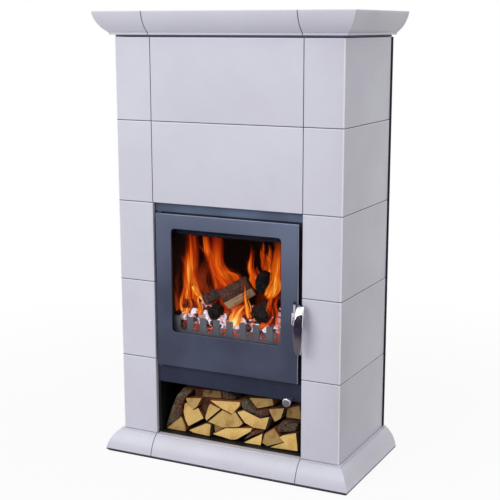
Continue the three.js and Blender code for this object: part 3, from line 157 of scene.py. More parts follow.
class Bench:
    """Makes and wires the nodes of one material or of the world."""

    def __init__(self, tree: bpy.types.NodeTree) -> None:
        """Clears the tree.

        Args:
            tree: the node tree to fill.
        """
        self.tree = tree
        self.tree.nodes.clear()

    def node(self, kind: str, settings: dict, inputs: dict) -> bpy.types.Node:
        """Makes any node.

        Args:
            kind: the node's type.
            settings: its own properties, set first; "stops" fills a colour ramp.
            inputs: values or signals for its sockets, by name or place.

        Returns:
            The new node.
        """
        made = self.tree.nodes.new(kind)
        for name, value in settings.items():
            if name == "stops":
                elements = made.color_ramp.elements
                while len(elements) < len(value):
                    elements.new(1.0)
                for element, (place, colour) in zip(elements, value):
                    element.position = place
                    element.color = (*colour, 1.0)
            else:
                setattr(made, name, value)
        for key, value in inputs.items():
            if isinstance(value, Signal):
                self.tree.links.new(value.socket, made.inputs[key])
            else:
                made.inputs[key].default_value = value
        return made

    def out(self, kind: str, settings: dict, inputs: dict, output: Union[int, str] = 0) -> Signal:
        """Makes a node and returns one of its outputs as a signal."""
        return Signal(self, self.node(kind, settings, inputs).outputs[output])

    def math(self, operation: str, first: Operand, second: Operand = 0.0) -> Signal:
        """Works one sum on numbers."""
        return self.out("ShaderNodeMath", {"operation": operation}, {0: first, 1: second})

    def vector(self, operation: str, first: Signal, second: Union[Signal, Sequence[float]]) -> Signal:
        """Works one sum on vectors."""
        return self.out("ShaderNodeVectorMath", {"operation": operation}, {0: first, 1: second})

    def length(self, vector: Signal) -> Signal:
        """Measures a vector."""
        return self.out("ShaderNodeVectorMath", {"operation": "LENGTH"}, {0: vector}, "Value")

    def place(self) -> Signal:
        """Gives the point's place on the object, in metres."""
        return self.out("ShaderNodeTexCoord", {}, {}, "Object")

    def unwrapped(self) -> Signal:
        """Gives the piece's own UV map."""
        return self.out("ShaderNodeTexCoord", {}, {}, "UV")

    def part(self, vector: Signal, axis: str) -> Signal:
        """Gives one component of a vector: X, Y or Z."""
        return self.out("ShaderNodeSeparateXYZ", {}, {0: vector}, axis)

    def attribute(self, name: str) -> Signal:
        """Reads a number kept on the piece's faces or points."""
        return self.out("ShaderNodeAttribute", {"attribute_name": name}, {}, "Fac")

    def noise(self, vector: Signal, scale: float, detail: float = 3.0, rough: float = 0.5,
              twist: float = 0.0) -> Signal:
        """Makes soft clouds between 0 and 1."""
        inputs = {"Scale": scale, "Detail": detail, "Roughness": rough, "Distortion": twist}
        return self.out("ShaderNodeTexNoise", {}, {"Vector": vector, **inputs})

    def cells(self, vector: Signal, scale: float, feature: str = "F1", output: int = 0) -> Signal:
        """Makes cells, and gives the distance to their middles or to their edges."""
        inputs = {"Vector": vector, "Scale": scale}
        return self.out("ShaderNodeTexVoronoi", {"feature": feature}, inputs, output)

    def stretch(self, vector: Signal, by: Sequence[float]) -> Signal:
        """Multiplies a vector's components."""
        return self.vector("MULTIPLY", vector, by)

    def blend(self, share: Operand, first: Union[Signal, Colour], second: Union[Signal, Colour],
              way: str = "MIX") -> Signal:
        """Blends two colours.

        Args:
            share: how much of the second colour, from 0 to 1.
            first: the colour underneath.
            second: the colour on top.
            way: how the second goes over the first, as the node names it.

        Returns:
            The blended colour.
        """
        settings = {"data_type": "RGBA", "blend_type": way}
        pair = [colour if isinstance(colour, Signal) else (*colour, 1.0) for colour in (first, second)]
        return self.out("ShaderNodeMix", settings, {0: share, 6: pair[0], 7: pair[1]}, 2)

    def ramp(self, share: Signal, stops: Sequence[tuple[float, Colour]]) -> Signal:
        """Looks a colour up between stops."""
        return self.out("ShaderNodeValToRGB", {"stops": stops}, {0: share})

    def background_seen(self) -> Signal:
        """Tells the rays that see the white background.

        Returns:
            1 for the camera's rays, a mirror's and those through glass, 0 for the rest.
        """
        ray = self.node("ShaderNodeLightPath", {}, {})
        kinds = ("Camera", "Glossy", "Transmission")
        camera, glossy, through = (Signal(self, ray.outputs[f"Is {kind} Ray"]) for kind in kinds)
        return (camera + glossy + through).held()

    def bump(self, height: Signal, strength: float, distance: float) -> Signal:
        """Turns a height into a normal."""
        inputs = {"Height": height, "Strength": strength, "Distance": distance}
        return self.out("ShaderNodeBump", {}, inputs)

    def surface(self, inputs: dict) -> Signal:
        """Makes the main shader."""
        return self.out("ShaderNodeBsdfPrincipled", {}, inputs)


SHELF: dict["Finish", bpy.types.Material] = {}


@dataclass(frozen=True)
class Finish:
    """A finish: how one kind of surface looks. Each one makes its material once."""

    name: str

    def shade(self, bench: Bench) -> Signal:
        """Builds the shader.

        Args:
            bench: where the nodes are made.

        Returns:
            The shader's output.
        """
        raise NotImplementedError

    def material(self) -> bpy.types.Material:
        """Makes the material, or finds it on the shelf.

        Returns:
            The finish's one material.
        """
        if self not in SHELF:
            made = bpy.data.materials.new(self.name)
            made.use_nodes = True
            bench = Bench(made.node_tree)
            bench.node("ShaderNodeOutputMaterial", {}, {"Surface": self.shade(bench)})
            SHELF[self] = made
        return SHELF[self]


@dataclass(frozen=True)
class Glaze(Finish):
    """Pale satin glaze on fired clay: faint clouds, pinholes and a surface that is never quite flat.

    Pairs are places, in metres, between which a mark comes or goes.
    """

    colour: Colour = rgb(216, 216, 228)
    thin: Colour = rgb(196, 194, 208)
    pinhole: Colour = rgb(150, 148, 160)
    joint: Colour = rgb(92, 90, 102)
    # painted contact shadow: a dark band along the lowest 8 mm of the base, where it meets the floor
    foot: Colour = rgb(50, 44, 52)
    # painted highlight: the colour of the tiles' upright front corners and upper lips
    edge: Colour = rgb(250, 250, 255)
    rough: float = 0.32
    upright: float = 0.217
    first_level: float = 0.063
    pitch: float = 0.215
    door_rows: int = 3
    dusty: tuple = (0.0008, 0.0015)
    corner: tuple = (0.4672, 0.4686)
    corner_back: tuple = (-0.1450, -0.1440)
    lip_start: tuple = (0.0008, 0.0014)
    lip_end: tuple = (0.0030, 0.0042)
    lip_highlight_share: float = 0.4
    contact_shadow_top: tuple = (0.0078, 0.0086)
    tile_rows: bool = True

    def along_rows(self, bench: Bench, place: Signal) -> Signal:
        """Counts the tile rows upwards, so that each level joint stands at a half."""
        return (bench.part(place, "Z") - self.first_level) / self.pitch + 0.5

    def joints(self, bench: Bench, place: Signal) -> Signal:
        """Marks the dusty edges beside the joints: upright ones at +-x, level ones a pitch apart on tiles.

        Args:
            bench: where the nodes are made.
            place: the point's place.

        Returns:
            1 in the joint, 0 a millimetre and a half from it.
        """
        aside = abs(abs(bench.part(place, "X")) - self.upright)
        upright = 1.0 - aside.rise(*self.dusty)
        if not self.tile_rows:
            return upright
        level = abs(bench.math("FRACT", self.along_rows(bench, place)) - 0.5) * self.pitch
        door_top = self.first_level + self.door_rows * self.pitch
        above_door = bench.part(place, "Z").rise(door_top - MM, door_top)
        return (upright * above_door + 1.0 - level.rise(*self.dusty)).held()

    def edges(self, bench: Bench, place: Signal) -> Signal:
        """Marks the painted highlights on a tile's upper lip and its upright front corner.

        The corner is where |x| - y nears its most. The lip lies 1 to 4 mm under a level joint.

        Args:
            bench: where the nodes are made.
            place: the point's place.

        Returns:
            1 on the corner, less on the lip, 0 elsewhere.
        """
        depth = bench.part(place, "Y")
        outward = (abs(bench.part(place, "X")) - depth).rise(*self.corner)
        corner = outward * (1.0 - depth.rise(*self.corner_back))
        under = (0.5 - bench.math("FRACT", self.along_rows(bench, place))) * self.pitch
        lip = under.rise(*self.lip_start) * (1.0 - under.rise(*self.lip_end))
        return (corner + lip * self.lip_highlight_share).held()

    def shade(self, bench: Bench) -> Signal:
        """Builds the shader. See Finish."""
        place = bench.place()
        clouds = bench.noise(place, 5.0, 5.0, 0.6).rise(0.3, 0.75)
        grain = bench.noise(place, 420.0, 2.0).rise(0.35, 0.7)
        pinholes = 1.0 - bench.cells(place, 160.0).rise(0.03, 0.09)
        body = bench.blend(clouds * 0.35, self.colour, self.thin)
        body = bench.blend(grain * 0.10, body, self.thin)
        body = bench.blend(pinholes * 0.22, body, self.pinhole)
        if self.tile_rows:
            # painted highlight: the tiles' front corners and upper lips are lightened, as where light
            # catches them
            body = bench.blend(self.edges(bench, place), body, self.edge)
        body = bench.blend(self.joints(bench, place) * 0.9, body, self.joint)
        # painted contact shadow along the bottom of the base
        body = bench.blend(1.0 - bench.part(place, "Z").rise(*self.contact_shadow_top), body, self.foot)
        waves = bench.noise(place, 16.0, 2.0) + 0.06 * bench.noise(place, 300.0, 2.0) - 0.05 * pinholes
        return bench.surface({
            "Base Color": body,
            "Roughness": self.rough + clouds * 0.08,
            "Specular IOR Level": 0.4,
            "Coat Weight": 0.12,
            "Coat Roughness": 0.12,
            "Normal": bench.bump(waves, 0.22, 0.002),
        })


@dataclass(frozen=True)
class Paint(Finish):
    """Heat-proof metallic paint on steel: fine flakes in a slightly rough coat.

    The coat can carry painted light: it is paler towards its top and its upper right, as if lit more there.
    The pairs say where, in metres.
    """

    colour: Colour = rgb(104, 112, 134)
    low: Colour = rgb(84, 90, 112)
    metallic: float = 0.25
    rough: float = 0.42
    grain: float = 0.12
    painted_light: float = 0.0
    gloss: float = 0.5
    # the colour of the painted light on the coat
    pale: Colour = rgb(132, 144, 172)
    painted_light_up: tuple = (0.45, 0.70)
    painted_light_right: tuple = (0.0, 0.22)
    painted_light_right_up: tuple = (0.3, 0.6)

    def shade(self, bench: Bench) -> Signal:
        """Builds the shader. See Finish."""
        place = bench.place()
        flakes = bench.cells(place, 1500.0, "F1", 1)
        clouds = bench.noise(place, 7.0, 4.0, 0.55)
        body = bench.blend(clouds.rise(0.3, 0.7), self.low, self.colour)
        body = bench.blend(0.10, body, flakes, "OVERLAY")
        # painted light: paler towards the top and the upper right, as if the lamps lit them more
        if self.painted_light:
            height = bench.part(place, "Z")
            right = bench.part(place, "X").rise(*self.painted_light_right) * height.rise(*self.painted_light_right_up)
            worn = height.rise(*self.painted_light_up) * 0.7 + right * 0.5
            body = bench.blend((worn * self.painted_light).held(), body, self.pale)
        peel = bench.noise(place, 700.0, 2.0) + 0.5 * bench.noise(place, 120.0, 2.0)
        return bench.surface({
            "Base Color": body,
            "Metallic": self.metallic,
            "Roughness": self.rough + 0.1 * bench.noise(place, 40.0, 3.0),
            "Specular IOR Level": self.gloss,
            "Normal": bench.bump(peel, self.grain, 0.0006),
        })


@dataclass(frozen=True)
class Soot(Finish):
    """Steel inside the fire box, black with soot that lies thicker in clouds."""

    colour: Colour = rgb(30, 28, 28)
    dust: Colour = rgb(70, 63, 58)

    def shade(self, bench: Bench) -> Signal:
        """Builds the shader. See Finish."""
        place = bench.place()
        clouds = bench.noise(place, 9.0, 6.0, 0.65).rise(0.4, 0.8)
        grit = bench.noise(place, 350.0, 3.0)
        body = bench.blend(clouds * 0.6, self.colour, self.dust)
        return bench.surface({
            "Base Color": body,
            "Roughness": 0.7 + 0.2 * clouds,
            "Specular IOR Level": 0.3,
            "Normal": bench.bump(grit, 0.3, 0.0008),
        })


@dataclass(frozen=True)
class Casting(Finish):
    """Cast metal with a sandy skin."""

    colour: Colour = rgb(112, 116, 128)
    hollow: Colour = rgb(72, 74, 84)
    metallic: float = 0.3

    def shade(self, bench: Bench) -> Signal:
        """Builds the shader. See Finish."""
        place = bench.place()
        sand = bench.noise(place, 480.0, 4.0, 0.7)
        clouds = bench.noise(place, 18.0, 4.0)
        body = bench.blend((sand * 0.6 + clouds * 0.6).rise(0.35, 0.85), self.hollow, self.colour)
        return bench.surface({
            "Base Color": body,
            "Metallic": self.metallic,
            "Roughness": 0.55 + 0.25 * sand,
            "Normal": bench.bump(sand, 0.45, 0.0009),
        })


@dataclass(frozen=True)
class Board(Finish):
    """Pressed board or fire brick: packed grains, darkened by smoke towards the top."""

    grain_colour: Colour = rgb(176, 156, 124)
    gap_colour: Colour = rgb(118, 100, 78)
    smoke: Colour = rgb(9, 8, 8)
    grain_scale: float = 230.0
    smoke_low: float = 0.26
    smoke_high: float = 0.42

    def shade(self, bench: Bench) -> Signal:
        """Builds the shader. See Finish."""
        place = bench.place()
        grains = bench.cells(place, self.grain_scale)
        height = bench.part(place, "Z") + 0.16 * (bench.noise(place, 8.0, 4.0) - 0.5)
        body = bench.blend(grains.rise(0.2, 0.8), self.grain_colour, self.gap_colour)
        body = bench.blend(height.rise(self.smoke_low, self.smoke_high) * 0.97, body, self.smoke)
        return bench.surface({
            "Base Color": body,
            "Roughness": 0.95,
            "Specular IOR Level": 0.15,
            "Normal": bench.bump(1.0 - grains, 0.5, 0.0012),
        })


@dataclass(frozen=True)
class Zinc(Finish):
    """Zinc-coated sheet with its pattern of flat crystals."""

    colour: Colour = rgb(172, 175, 180)
    dark: Colour = rgb(150, 153, 159)

    def shade(self, bench: Bench) -> Signal:
        """Builds the shader. See Finish."""
        place = bench.place()
        crystals = bench.cells(bench.stretch(place, (1.0, 1.0, 0.7)), 85.0, "F1", 1)
        tone = bench.part(crystals, "X")
        return bench.surface({
            "Base Color": bench.blend(tone, self.dark, self.colour),
            "Metallic": 0.85,
            "Roughness": 0.32 + 0.2 * tone,
            "Normal": bench.bump(bench.noise(place, 90.0, 2.0), 0.1, 0.0006),
        })


@dataclass(frozen=True)
class ClearGlass(Finish):
    """Clear heat-proof pane with a faint film of smoke near its lower edge."""

    film: Colour = rgb(60, 52, 46)
    film_top: tuple = (0.352, 0.40)

    def shade(self, bench: Bench) -> Signal:
        """Builds the shader. See Finish."""
        place = bench.place()
        low = 1.0 - bench.part(place, "Z").rise(*self.film_top)
        haze = low * bench.noise(place, 24.0, 4.0).rise(0.35, 0.8)
        sheen = bench.out("ShaderNodeLayerWeight", {}, {"Blend": 0.18}, "Fresnel")
        return bench.surface({
            "Base Color": (*self.film, 1.0),
            "Roughness": 0.03 + 0.2 * haze,
            "IOR": 1.47,
            "Specular IOR Level": 0.3,
            "Alpha": (0.02 + 0.35 * sheen + 0.07 * haze).held(),
        })


@dataclass(frozen=True)
class RopeWeave(Finish):
    """Glass-fibre rope: strands laid across each other."""

    colour: Colour = rgb(70, 70, 72)
    dark: Colour = rgb(34, 34, 36)
    strands: float = 2400.0

    def shade(self, bench: Bench) -> Signal:
        """Builds the shader. See Finish."""
        place = bench.place()
        across = bench.part(place, "X")
        up = bench.part(place, "Z")
        weave = ((across + up) * self.strands).wave() * ((across - up) * self.strands).wave()
        return bench.surface({
            "Base Color": bench.blend(weave, self.dark, self.colour),
            "Roughness": 0.95,
            "Normal": bench.bump(weave, 0.8, 0.0012),
        })


@dataclass(frozen=True)
class Bright(Finish):
    """Polished or brushed bright metal, with rub marks that show in its gloss."""

    colour: Colour = rgb(226, 226, 230)
    rough: float = 0.05
    marks: float = 0.06
    brushed: tuple[float, float, float] = (40.0, 40.0, 40.0)
    metallic: float = 1.0
    rubbed: Colour = rgb(150, 148, 152)

    def shade(self, bench: Bench) -> Signal:
        """Builds the shader. See Finish."""
        place = bench.place()
        rub = bench.noise(bench.stretch(place, self.brushed), 1.0, 4.0, 0.6)
        body = bench.blend(rub.rise(0.4, 0.8) * 0.12, self.colour, self.rubbed)
        return bench.surface({
            "Base Color": body,
            "Metallic": self.metallic,
            "Roughness": self.rough + self.marks * rub,
        })


@dataclass(frozen=True)
class Moulded(Finish):
    """Moulded black plastic with a fine skin."""

    colour: Colour = rgb(14, 14, 16)
    worn: Colour = rgb(44, 44, 48)

    def shade(self, bench: Bench) -> Signal:
        """Builds the shader. See Finish."""
        place = bench.place()
        skin = bench.noise(place, 900.0, 2.0)
        return bench.surface({
            "Base Color": bench.blend(skin * 0.3, self.colour, self.worn),
            "Roughness": 0.32 + 0.12 * skin,
            "Normal": bench.bump(skin, 0.15, 0.0004),
        })


@dataclass(frozen=True)
class Bark(Finish):
    """Bark: deep ridges along the log, with lichen and the red of the inner bark showing between."""

    ridge: Colour = rgb(132, 106, 84)
    groove: Colour = rgb(34, 20, 16)
    inner: Colour = rgb(176, 78, 48)
    lichen: Colour = rgb(136, 132, 104)
    red: float = 0.35
    scale: float = 150.0

    def shade(self, bench: Bench) -> Signal:
        """Builds the shader. See Finish."""
        place = bench.place()
        sway = bench.out("ShaderNodeTexNoise", {}, {"Vector": place, "Scale": 40.0, "Detail": 3.0}, "Color")
        bent = bench.vector("ADD", place, bench.stretch(sway, (0.014, 0.014, 0.014)))
        scales = bench.cells(bench.stretch(bent, (1.0, 0.35, 0.55)), self.scale, "DISTANCE_TO_EDGE")
        fibres = bench.noise(bench.stretch(bent, (1.0, 0.3, 0.5)), 420.0, 4.0, 0.7)
        patches = bench.noise(place, 26.0, 3.0)
        height = scales.rise(0.0, 0.3) * 0.45 + 0.55 * fibres.rise(0.3, 0.7)
        body = bench.blend(height, self.groove, self.ridge)
        body = bench.blend(patches.rise(0.5, 0.6) * self.red * height, body, self.inner)
        body = bench.blend((1.0 - patches).rise(0.52, 0.62) * height * 0.7, body, self.lichen)
        return bench.surface({
            "Base Color": body,
            "Roughness": 0.9,
            "Specular IOR Level": 0.2,
            "Normal": bench.bump(height, 0.9, 0.0035),
        })


@dataclass(frozen=True)
class SawnEnd(Finish):
    """The sawn end of a log: year rings about its heart, rays that run across them and marks of the saw."""

    pale: Colour = rgb(255, 226, 146)
    late: Colour = rgb(228, 162, 74)
    dark: Colour = rgb(74, 36, 24)
    ring: float = 0.0072

    def shade(self, bench: Bench) -> Signal:
        """Builds the shader. See Finish."""
        flat = bench.unwrapped()
        bent = bench.noise(flat, 30.0, 3.0) * 0.006
        outward = bench.length(flat) + bent
        rings = (outward * (2 * math.pi / self.ring)).wave()
        bearing = bench.math("ARCTAN2", bench.part(flat, "Y"), bench.part(flat, "X"))
        fan = bench.out("ShaderNodeCombineXYZ", {}, {0: bearing * 26.0, 1: outward * 90.0})
        rays = bench.noise(fan, 1.0, 4.0, 0.65, 0.4)
        saw = bench.noise(bench.stretch(flat, (40.0, 700.0, 1.0)), 1.0, 2.0)
        stain = bench.noise(flat, 20.0, 4.0, 0.6).rise(0.45, 0.8)
        tint = bench.attribute("tint")
        body = bench.blend((rings * 0.26 + rays.rise(0.3, 0.75) * 0.5).held(), self.pale, self.late)
        body = bench.blend(stain * 0.6, body, self.late)
        # the log's darkness attribute darkens its end: partly the wood's own tone, partly painted shade on
        # logs near the top of the niche
        body = bench.blend((tint**0.8 * (0.8 + 0.5 * stain)).held(), body, self.dark)
        return bench.surface({
            "Base Color": body,
            "Roughness": 0.82,
            "Specular IOR Level": 0.25,
            "Normal": bench.bump(rings * 0.4 + saw * 0.15 + rays * 0.7, 0.4, 0.0009),
        })


@dataclass(frozen=True)
class SplitFace(Finish):
    """The riven side of a log: long fibres that run with it."""

    pale: Colour = rgb(196, 128, 78)
    dark: Colour = rgb(98, 50, 32)

    def shade(self, bench: Bench) -> Signal:
        """Builds the shader. See Finish."""
        along = bench.unwrapped()
        fibres = bench.noise(bench.stretch(along, (320.0, 12.0, 1.0)), 1.0, 5.0, 0.65, 0.4)
        body = bench.blend(fibres.rise(0.3, 0.75), self.pale, self.dark)
        # the same darkness, partly the wood's own tone and partly painted shade, darkens the sides
        body = bench.blend((bench.attribute("tint") * 0.8).held(), body, self.dark)
        return bench.surface({
            "Base Color": body,
            "Roughness": 0.85,
            "Specular IOR Level": 0.2,
            "Normal": bench.bump(fibres, 0.6, 0.0014),
        })


@dataclass(frozen=True)
class Char(Finish):
    """Burning wood: charcoal cracked into blocks, ash on its ridges and fire in its cracks."""

    coal: Colour = rgb(6, 5, 6)
    ash: Colour = rgb(196, 190, 192)
    ashy: float = 0.3
    glow: float = 0.5
    cracks: float = 70.0
    # the share of the ash's own colour that it gives out as light: painted light
    painted_ash_light: float = 0.0
    fires: tuple = (
        (0.0, (0.0, 0.0, 0.0)), (0.25, rgb(112, 12, 6)), (0.6, rgb(228, 62, 14)), (1.0, rgb(255, 178, 64)),
    )

    def shade(self, bench: Bench) -> Signal:
        """Builds the shader. See Finish."""
        place = bench.place()
        blocks = bench.cells(place, self.cracks, "DISTANCE_TO_EDGE")
        clouds = bench.noise(place, 34.0, 5.0, 0.65)
        flakes = bench.noise(place, 110.0, 4.0, 0.7, 0.8)
        dust = ((flakes * 0.6 + clouds * 0.5).rise(0.42, 0.62) * self.ashy).held()
        seams = (1.0 - blocks.rise(0.0, 0.09)) * (1.0 - clouds).rise(0.44, 0.62)
        heat = ((seams * 0.7 + (1.0 - flakes).rise(0.50, 0.72) * 0.55) * self.glow).held()
        fire = bench.ramp(heat, self.fires)
        return bench.surface({
            "Base Color": bench.blend(dust, self.coal, self.ash),
            "Roughness": 0.9,
            "Specular IOR Level": 0.15,
            # painted light: the ash also gives out its own pale colour, standing in for the fire lighting
            # it
            "Emission Color": bench.blend(dust * self.painted_ash_light, fire, self.ash),
            "Emission Strength": 1.3,
            "Normal": bench.bump(blocks.rise(0.0, 0.14) + 0.35 * flakes, 0.7, 0.0018),
        })


class Heat(Enum):
    """How hot a tongue of flame looks: its colours from the faint edge to the core, and how solid it is."""

    DIM = ((30, 6, 4), (78, 20, 10), (128, 40, 16), (170, 62, 22), 0.5)
    RED = ((60, 10, 5), (140, 32, 10), (198, 62, 14), (236, 104, 32), 0.9)
    ORANGE = ((88, 16, 5), (188, 50, 8), (238, 100, 16), (255, 164, 58), 1.35)
    YELLOW = ((120, 30, 6), (230, 88, 12), (255, 160, 40), (255, 238, 160), 1.7)


@dataclass(frozen=True)
class FlameLight(Finish):
    """Burning gas: streaks that run up the tongue, thin at its sides and its tip."""

    heat: Heat = Heat.ORANGE
    stops: tuple = (0.04, 0.3, 0.6, 0.88)

    def shade(self, bench: Bench) -> Signal:
        """Builds the shader. See Finish."""
        flat = bench.unwrapped()
        across = bench.part(flat, "X")
        along = bench.part(flat, "Y")
        drift = bench.stretch(bench.place(), (14.0, 14.0, 3.0))
        drawn = bench.vector("ADD", bench.stretch(flat, (2.3, 0.8, 0.0)), drift)
        streaks = bench.noise(drawn, 1.0, 3.0, 0.55, 0.8)
        middle = (1.0 - abs(across * 2.0 - 1.0)).rise(0.0, 1.0)
        reach = along.rise(0.0, 0.12) * (1.0 - along.rise(0.6, 1.0))
        body = (middle * reach * (0.1 + 1.15 * streaks.rise(0.3, 0.72))).held()
        *colours, solid = self.heat.value
        stops = [(stop, rgb(*colour)) for stop, colour in zip(self.stops, colours)]
        return bench.surface({
            "Base Color": (0.0, 0.0, 0.0, 1.0),
            "Roughness": 1.0,
            "Specular IOR Level": 0.0,
            "Emission Color": bench.ramp(body, stops),
            "Emission Strength": 1.0,
            "Alpha": (body * solid).held(0.0, 0.96),
        })


@dataclass(frozen=True)
class Ground(Finish):
    """Pale floor that meets the pale background without an edge and keeps the stove's soft shadow."""

    colour: Colour = (0.72, 0.72, 0.73)
    cloud: Colour = (0.66, 0.66, 0.67)
    cloth: Colour = (0.03, 0.03, 0.035)
    cloth_side: tuple = (0.38, 0.50)
    cloth_front: tuple = (-0.90, -0.50)
    white_reach: tuple = (0.7, 2.2)
    lift: float = 0.92

    def shade(self, bench: Bench) -> Signal:
        """Builds the shader. See Finish.

        To light that bounces off it, the floor beside the stove's right side is a dark cloth, so that the
        side and the crown's underside there fall into shade, as they do in a room lit from the left.
        """
        place = bench.place()
        background = bench.background_seen()
        grain = bench.noise(place, 3.0, 2.0)
        body = bench.blend(grain * 0.05, self.colour, self.cloud)
        beside = bench.part(place, "X").rise(*self.cloth_side)
        cloth = beside * bench.part(place, "Y").rise(*self.cloth_front)
        body = bench.blend(cloth * (1.0 - background), body, self.cloth)
        floor = bench.surface({"Base Color": body, "Roughness": 0.9, "Specular IOR Level": 0.1})
        white = bench.out("ShaderNodeEmission", {}, {"Color": (1.0, 1.0, 1.0, 1.0), "Strength": 1.0})
        far = bench.length(place).rise(*self.white_reach)
        seen = background * (self.lift + (1 - self.lift) * far)
        return bench.out("ShaderNodeMixShader", {}, {0: seen, 1: floor, 2: white})


@dataclass(frozen=True)
class DarkSheet(Finish):
    """Dark felt that bright metal mirrors, browner where it lies near the stove."""

    near: Colour = rgb(112, 104, 110)
    dark: Colour = rgb(54, 49, 66)
    turn_dark: tuple = (0.8, 2.0)

    def shade(self, bench: Bench) -> Signal:
        """Builds the shader. See Finish."""
        place = bench.place()
        clouds = bench.noise(place, 2.2, 3.0) - 0.5
        away = (0.0 - bench.part(place, "Y") + 0.7 * clouds).rise(*self.turn_dark)
        return bench.surface({
            "Base Color": bench.blend(away, self.near, self.dark),
            "Roughness": 1.0,
            "Specular IOR Level": 0.0,
        })


# ---------------------------------------------------------------- shapes


@dataclass
class Skin:
    """Points, faces between them and, where a finish needs them, two pattern coordinates for each point."""

    points: np.ndarray
    faces: list[list[int]]
    uv: Optional[np.ndarray] = None
    finish: int = 0
    tint: float = 0.0


def spot(across: float, depth: float, height: float) -> np.ndarray:
    """Places a point given in millimetres, its depth counted back from the face of the tiles."""
    return np.array([across * MM, TILE_FACE_Y + depth * MM, height * MM])


def place(points: np.ndarray) -> np.ndarray:
    """Places an array of points in millimetres, as spot does."""
    return np.asarray(points, dtype=float) * MM + np.array([0.0, TILE_FACE_Y, 0.0])


def smooth_path(points: Sequence[Sequence[float]], steps: int) -> np.ndarray:
    """Draws a smooth curve through points.

    On the stretch from b to c, with neighbours a and d and t from 0 to 1, the curve is
    (2b + (c - a)t + (2a - 5b + 4c - d)t^2 + (3b - a - 3c + d)t^3) / 2.

    Args:
        points: the points to pass through.
        steps: places worked out on each stretch.

    Returns:
        The curve's places, ends included.
    """
    knots = np.asarray(points, dtype=float)
    padded = np.vstack([2 * knots[0] - knots[1], knots, 2 * knots[-1] - knots[-2]])
    a, b, c, d = (padded[i:len(padded) - 3 + i][:, None, :] for i in range(4))
    t = (np.arange(steps) / steps)[None, :, None]
    curve = (2 * b + (c - a) * t + (2 * a - 5 * b + 4 * c - d) * t**2 + (3 * b - a - 3 * c + d) * t**3) / 2
    return np.vstack([curve.reshape(-1, knots.shape[1]), knots[-1:]])


def soften(corners: Sequence[Sequence[float]], radius: float, steps: int = 4) -> np.ndarray:
    """Rounds the corners of a closed outline.

    At a corner k with neighbours a and b, r along each side from it, the curve for t from 0 to 1 is
    (1 - t)^2 A + 2t(1 - t) k + t^2 B, where A and B stand r from k towards a and b.

    Args:
        corners: the outline's corners, in order.
        radius: how far from a corner its rounding starts; never past 0.45 of a side.
        steps: places along each rounding, less one.

    Returns:
        The rounded outline.
    """
    knots = np.asarray(corners, dtype=float)
    before = np.roll(knots, 1, axis=0) - knots
    after = np.roll(knots, -1, axis=0) - knots
    reach_before = np.linalg.norm(before, axis=1, keepdims=True)
    reach_after = np.linalg.norm(after, axis=1, keepdims=True)
    start = knots + before / reach_before * np.minimum(radius, 0.45 * reach_before)
    end = knots + after / reach_after * np.minimum(radius, 0.45 * reach_after)
    t = np.linspace(0, 1, steps + 1)[None, :, None]
    curve = (1 - t) ** 2 * start[:, None] + 2 * t * (1 - t) * knots[:, None] + t**2 * end[:, None]
    return curve.reshape(-1, knots.shape[1])


def quads(rows: int, columns: int) -> list[list[int]]:
    """Lists the four-sided faces between the points of a grid, row by row."""
    first = (np.arange(rows - 1)[:, None] * columns + np.arange(columns - 1)[None, :]).reshape(-1)
    return np.stack([first, first + 1, first + columns + 1, first + columns], axis=1).tolist()


def round_turn(flats: int) -> np.ndarray:
    """Lists the angles of a circle's corners, in radians."""
    return np.arange(flats) * (2 * math.pi / flats)


def unit(steps: np.ndarray) -> np.ndarray:
    """Brings a direction, or each row of a list of them, to length 1."""
    return steps / np.linalg.norm(steps, axis=-1, keepdims=True)


def resized(outline: np.ndarray, shares: Sequence[float]) -> np.ndarray:
    """Draws an outline p again for each share s, about its middle m: m + s (p - m)."""
    middle = outline.mean(axis=0)
    return middle + (outline - middle)[None] * np.asarray(shares)[:, None, None]


def front_view(outlines: np.ndarray, depths: np.ndarray) -> np.ndarray:
    """Places outlines that are drawn as seen from the front.

    Args:
        outlines: rings by points by 2, across and up, in millimetres.
        depths: the depth of each ring as a column, or of each point, in millimetres.

    Returns:
        The rings' points, in metres.
    """
    depth = np.broadcast_to(depths, outlines.shape[:2])
    return place(np.stack([outlines[..., 0], depth, outlines[..., 1]], axis=-1))


def carried(start: np.ndarray, end: np.ndarray, share: np.ndarray, sections: np.ndarray) -> np.ndarray:
    """Carries cross-sections along a straight line: a ring at share t is start + t (end - start) + section.

    Args:
        start: where the line starts.
        end: where it ends.
        share: each ring's t.
        sections: rings by points by 3, about the line.

    Returns:
        The rings' points.
    """
    return (start + share[:, None] * (end - start))[:, None, :] + sections


def sheet(points: np.ndarray, uv: Optional[np.ndarray] = None, finish: int = 0) -> Skin:
    """Covers a grid of points.

    Args:
        points: an array of rows by columns by 3.
        uv: pattern coordinates, rows by columns by 2.
        finish: which of the piece's finishes it takes.

    Returns:
        The grid's skin.
    """
    rows, columns = points.shape[:2]
    flat_uv = None if uv is None else uv.reshape(-1, 2)
    return Skin(points.reshape(-1, 3), quads(rows, columns), flat_uv, finish)


def lid(ring: np.ndarray, uv: np.ndarray, finish: int = 0) -> Skin:
    """Closes a ring of points with one flat face."""
    return Skin(ring, [list(range(len(ring)))], uv, finish)


def steps_along(points: np.ndarray) -> np.ndarray:
    """Measures how far along a row of points each one stands."""
    return np.concatenate([[0.0], np.cumsum(np.linalg.norm(np.diff(points, axis=0), axis=1))])


def hoop(ring: np.ndarray) -> np.ndarray:
    """Repeats the first point of each ring at its end, so that a grid of rings closes on itself."""
    return np.concatenate([ring, ring[..., :1, :]], axis=-2)


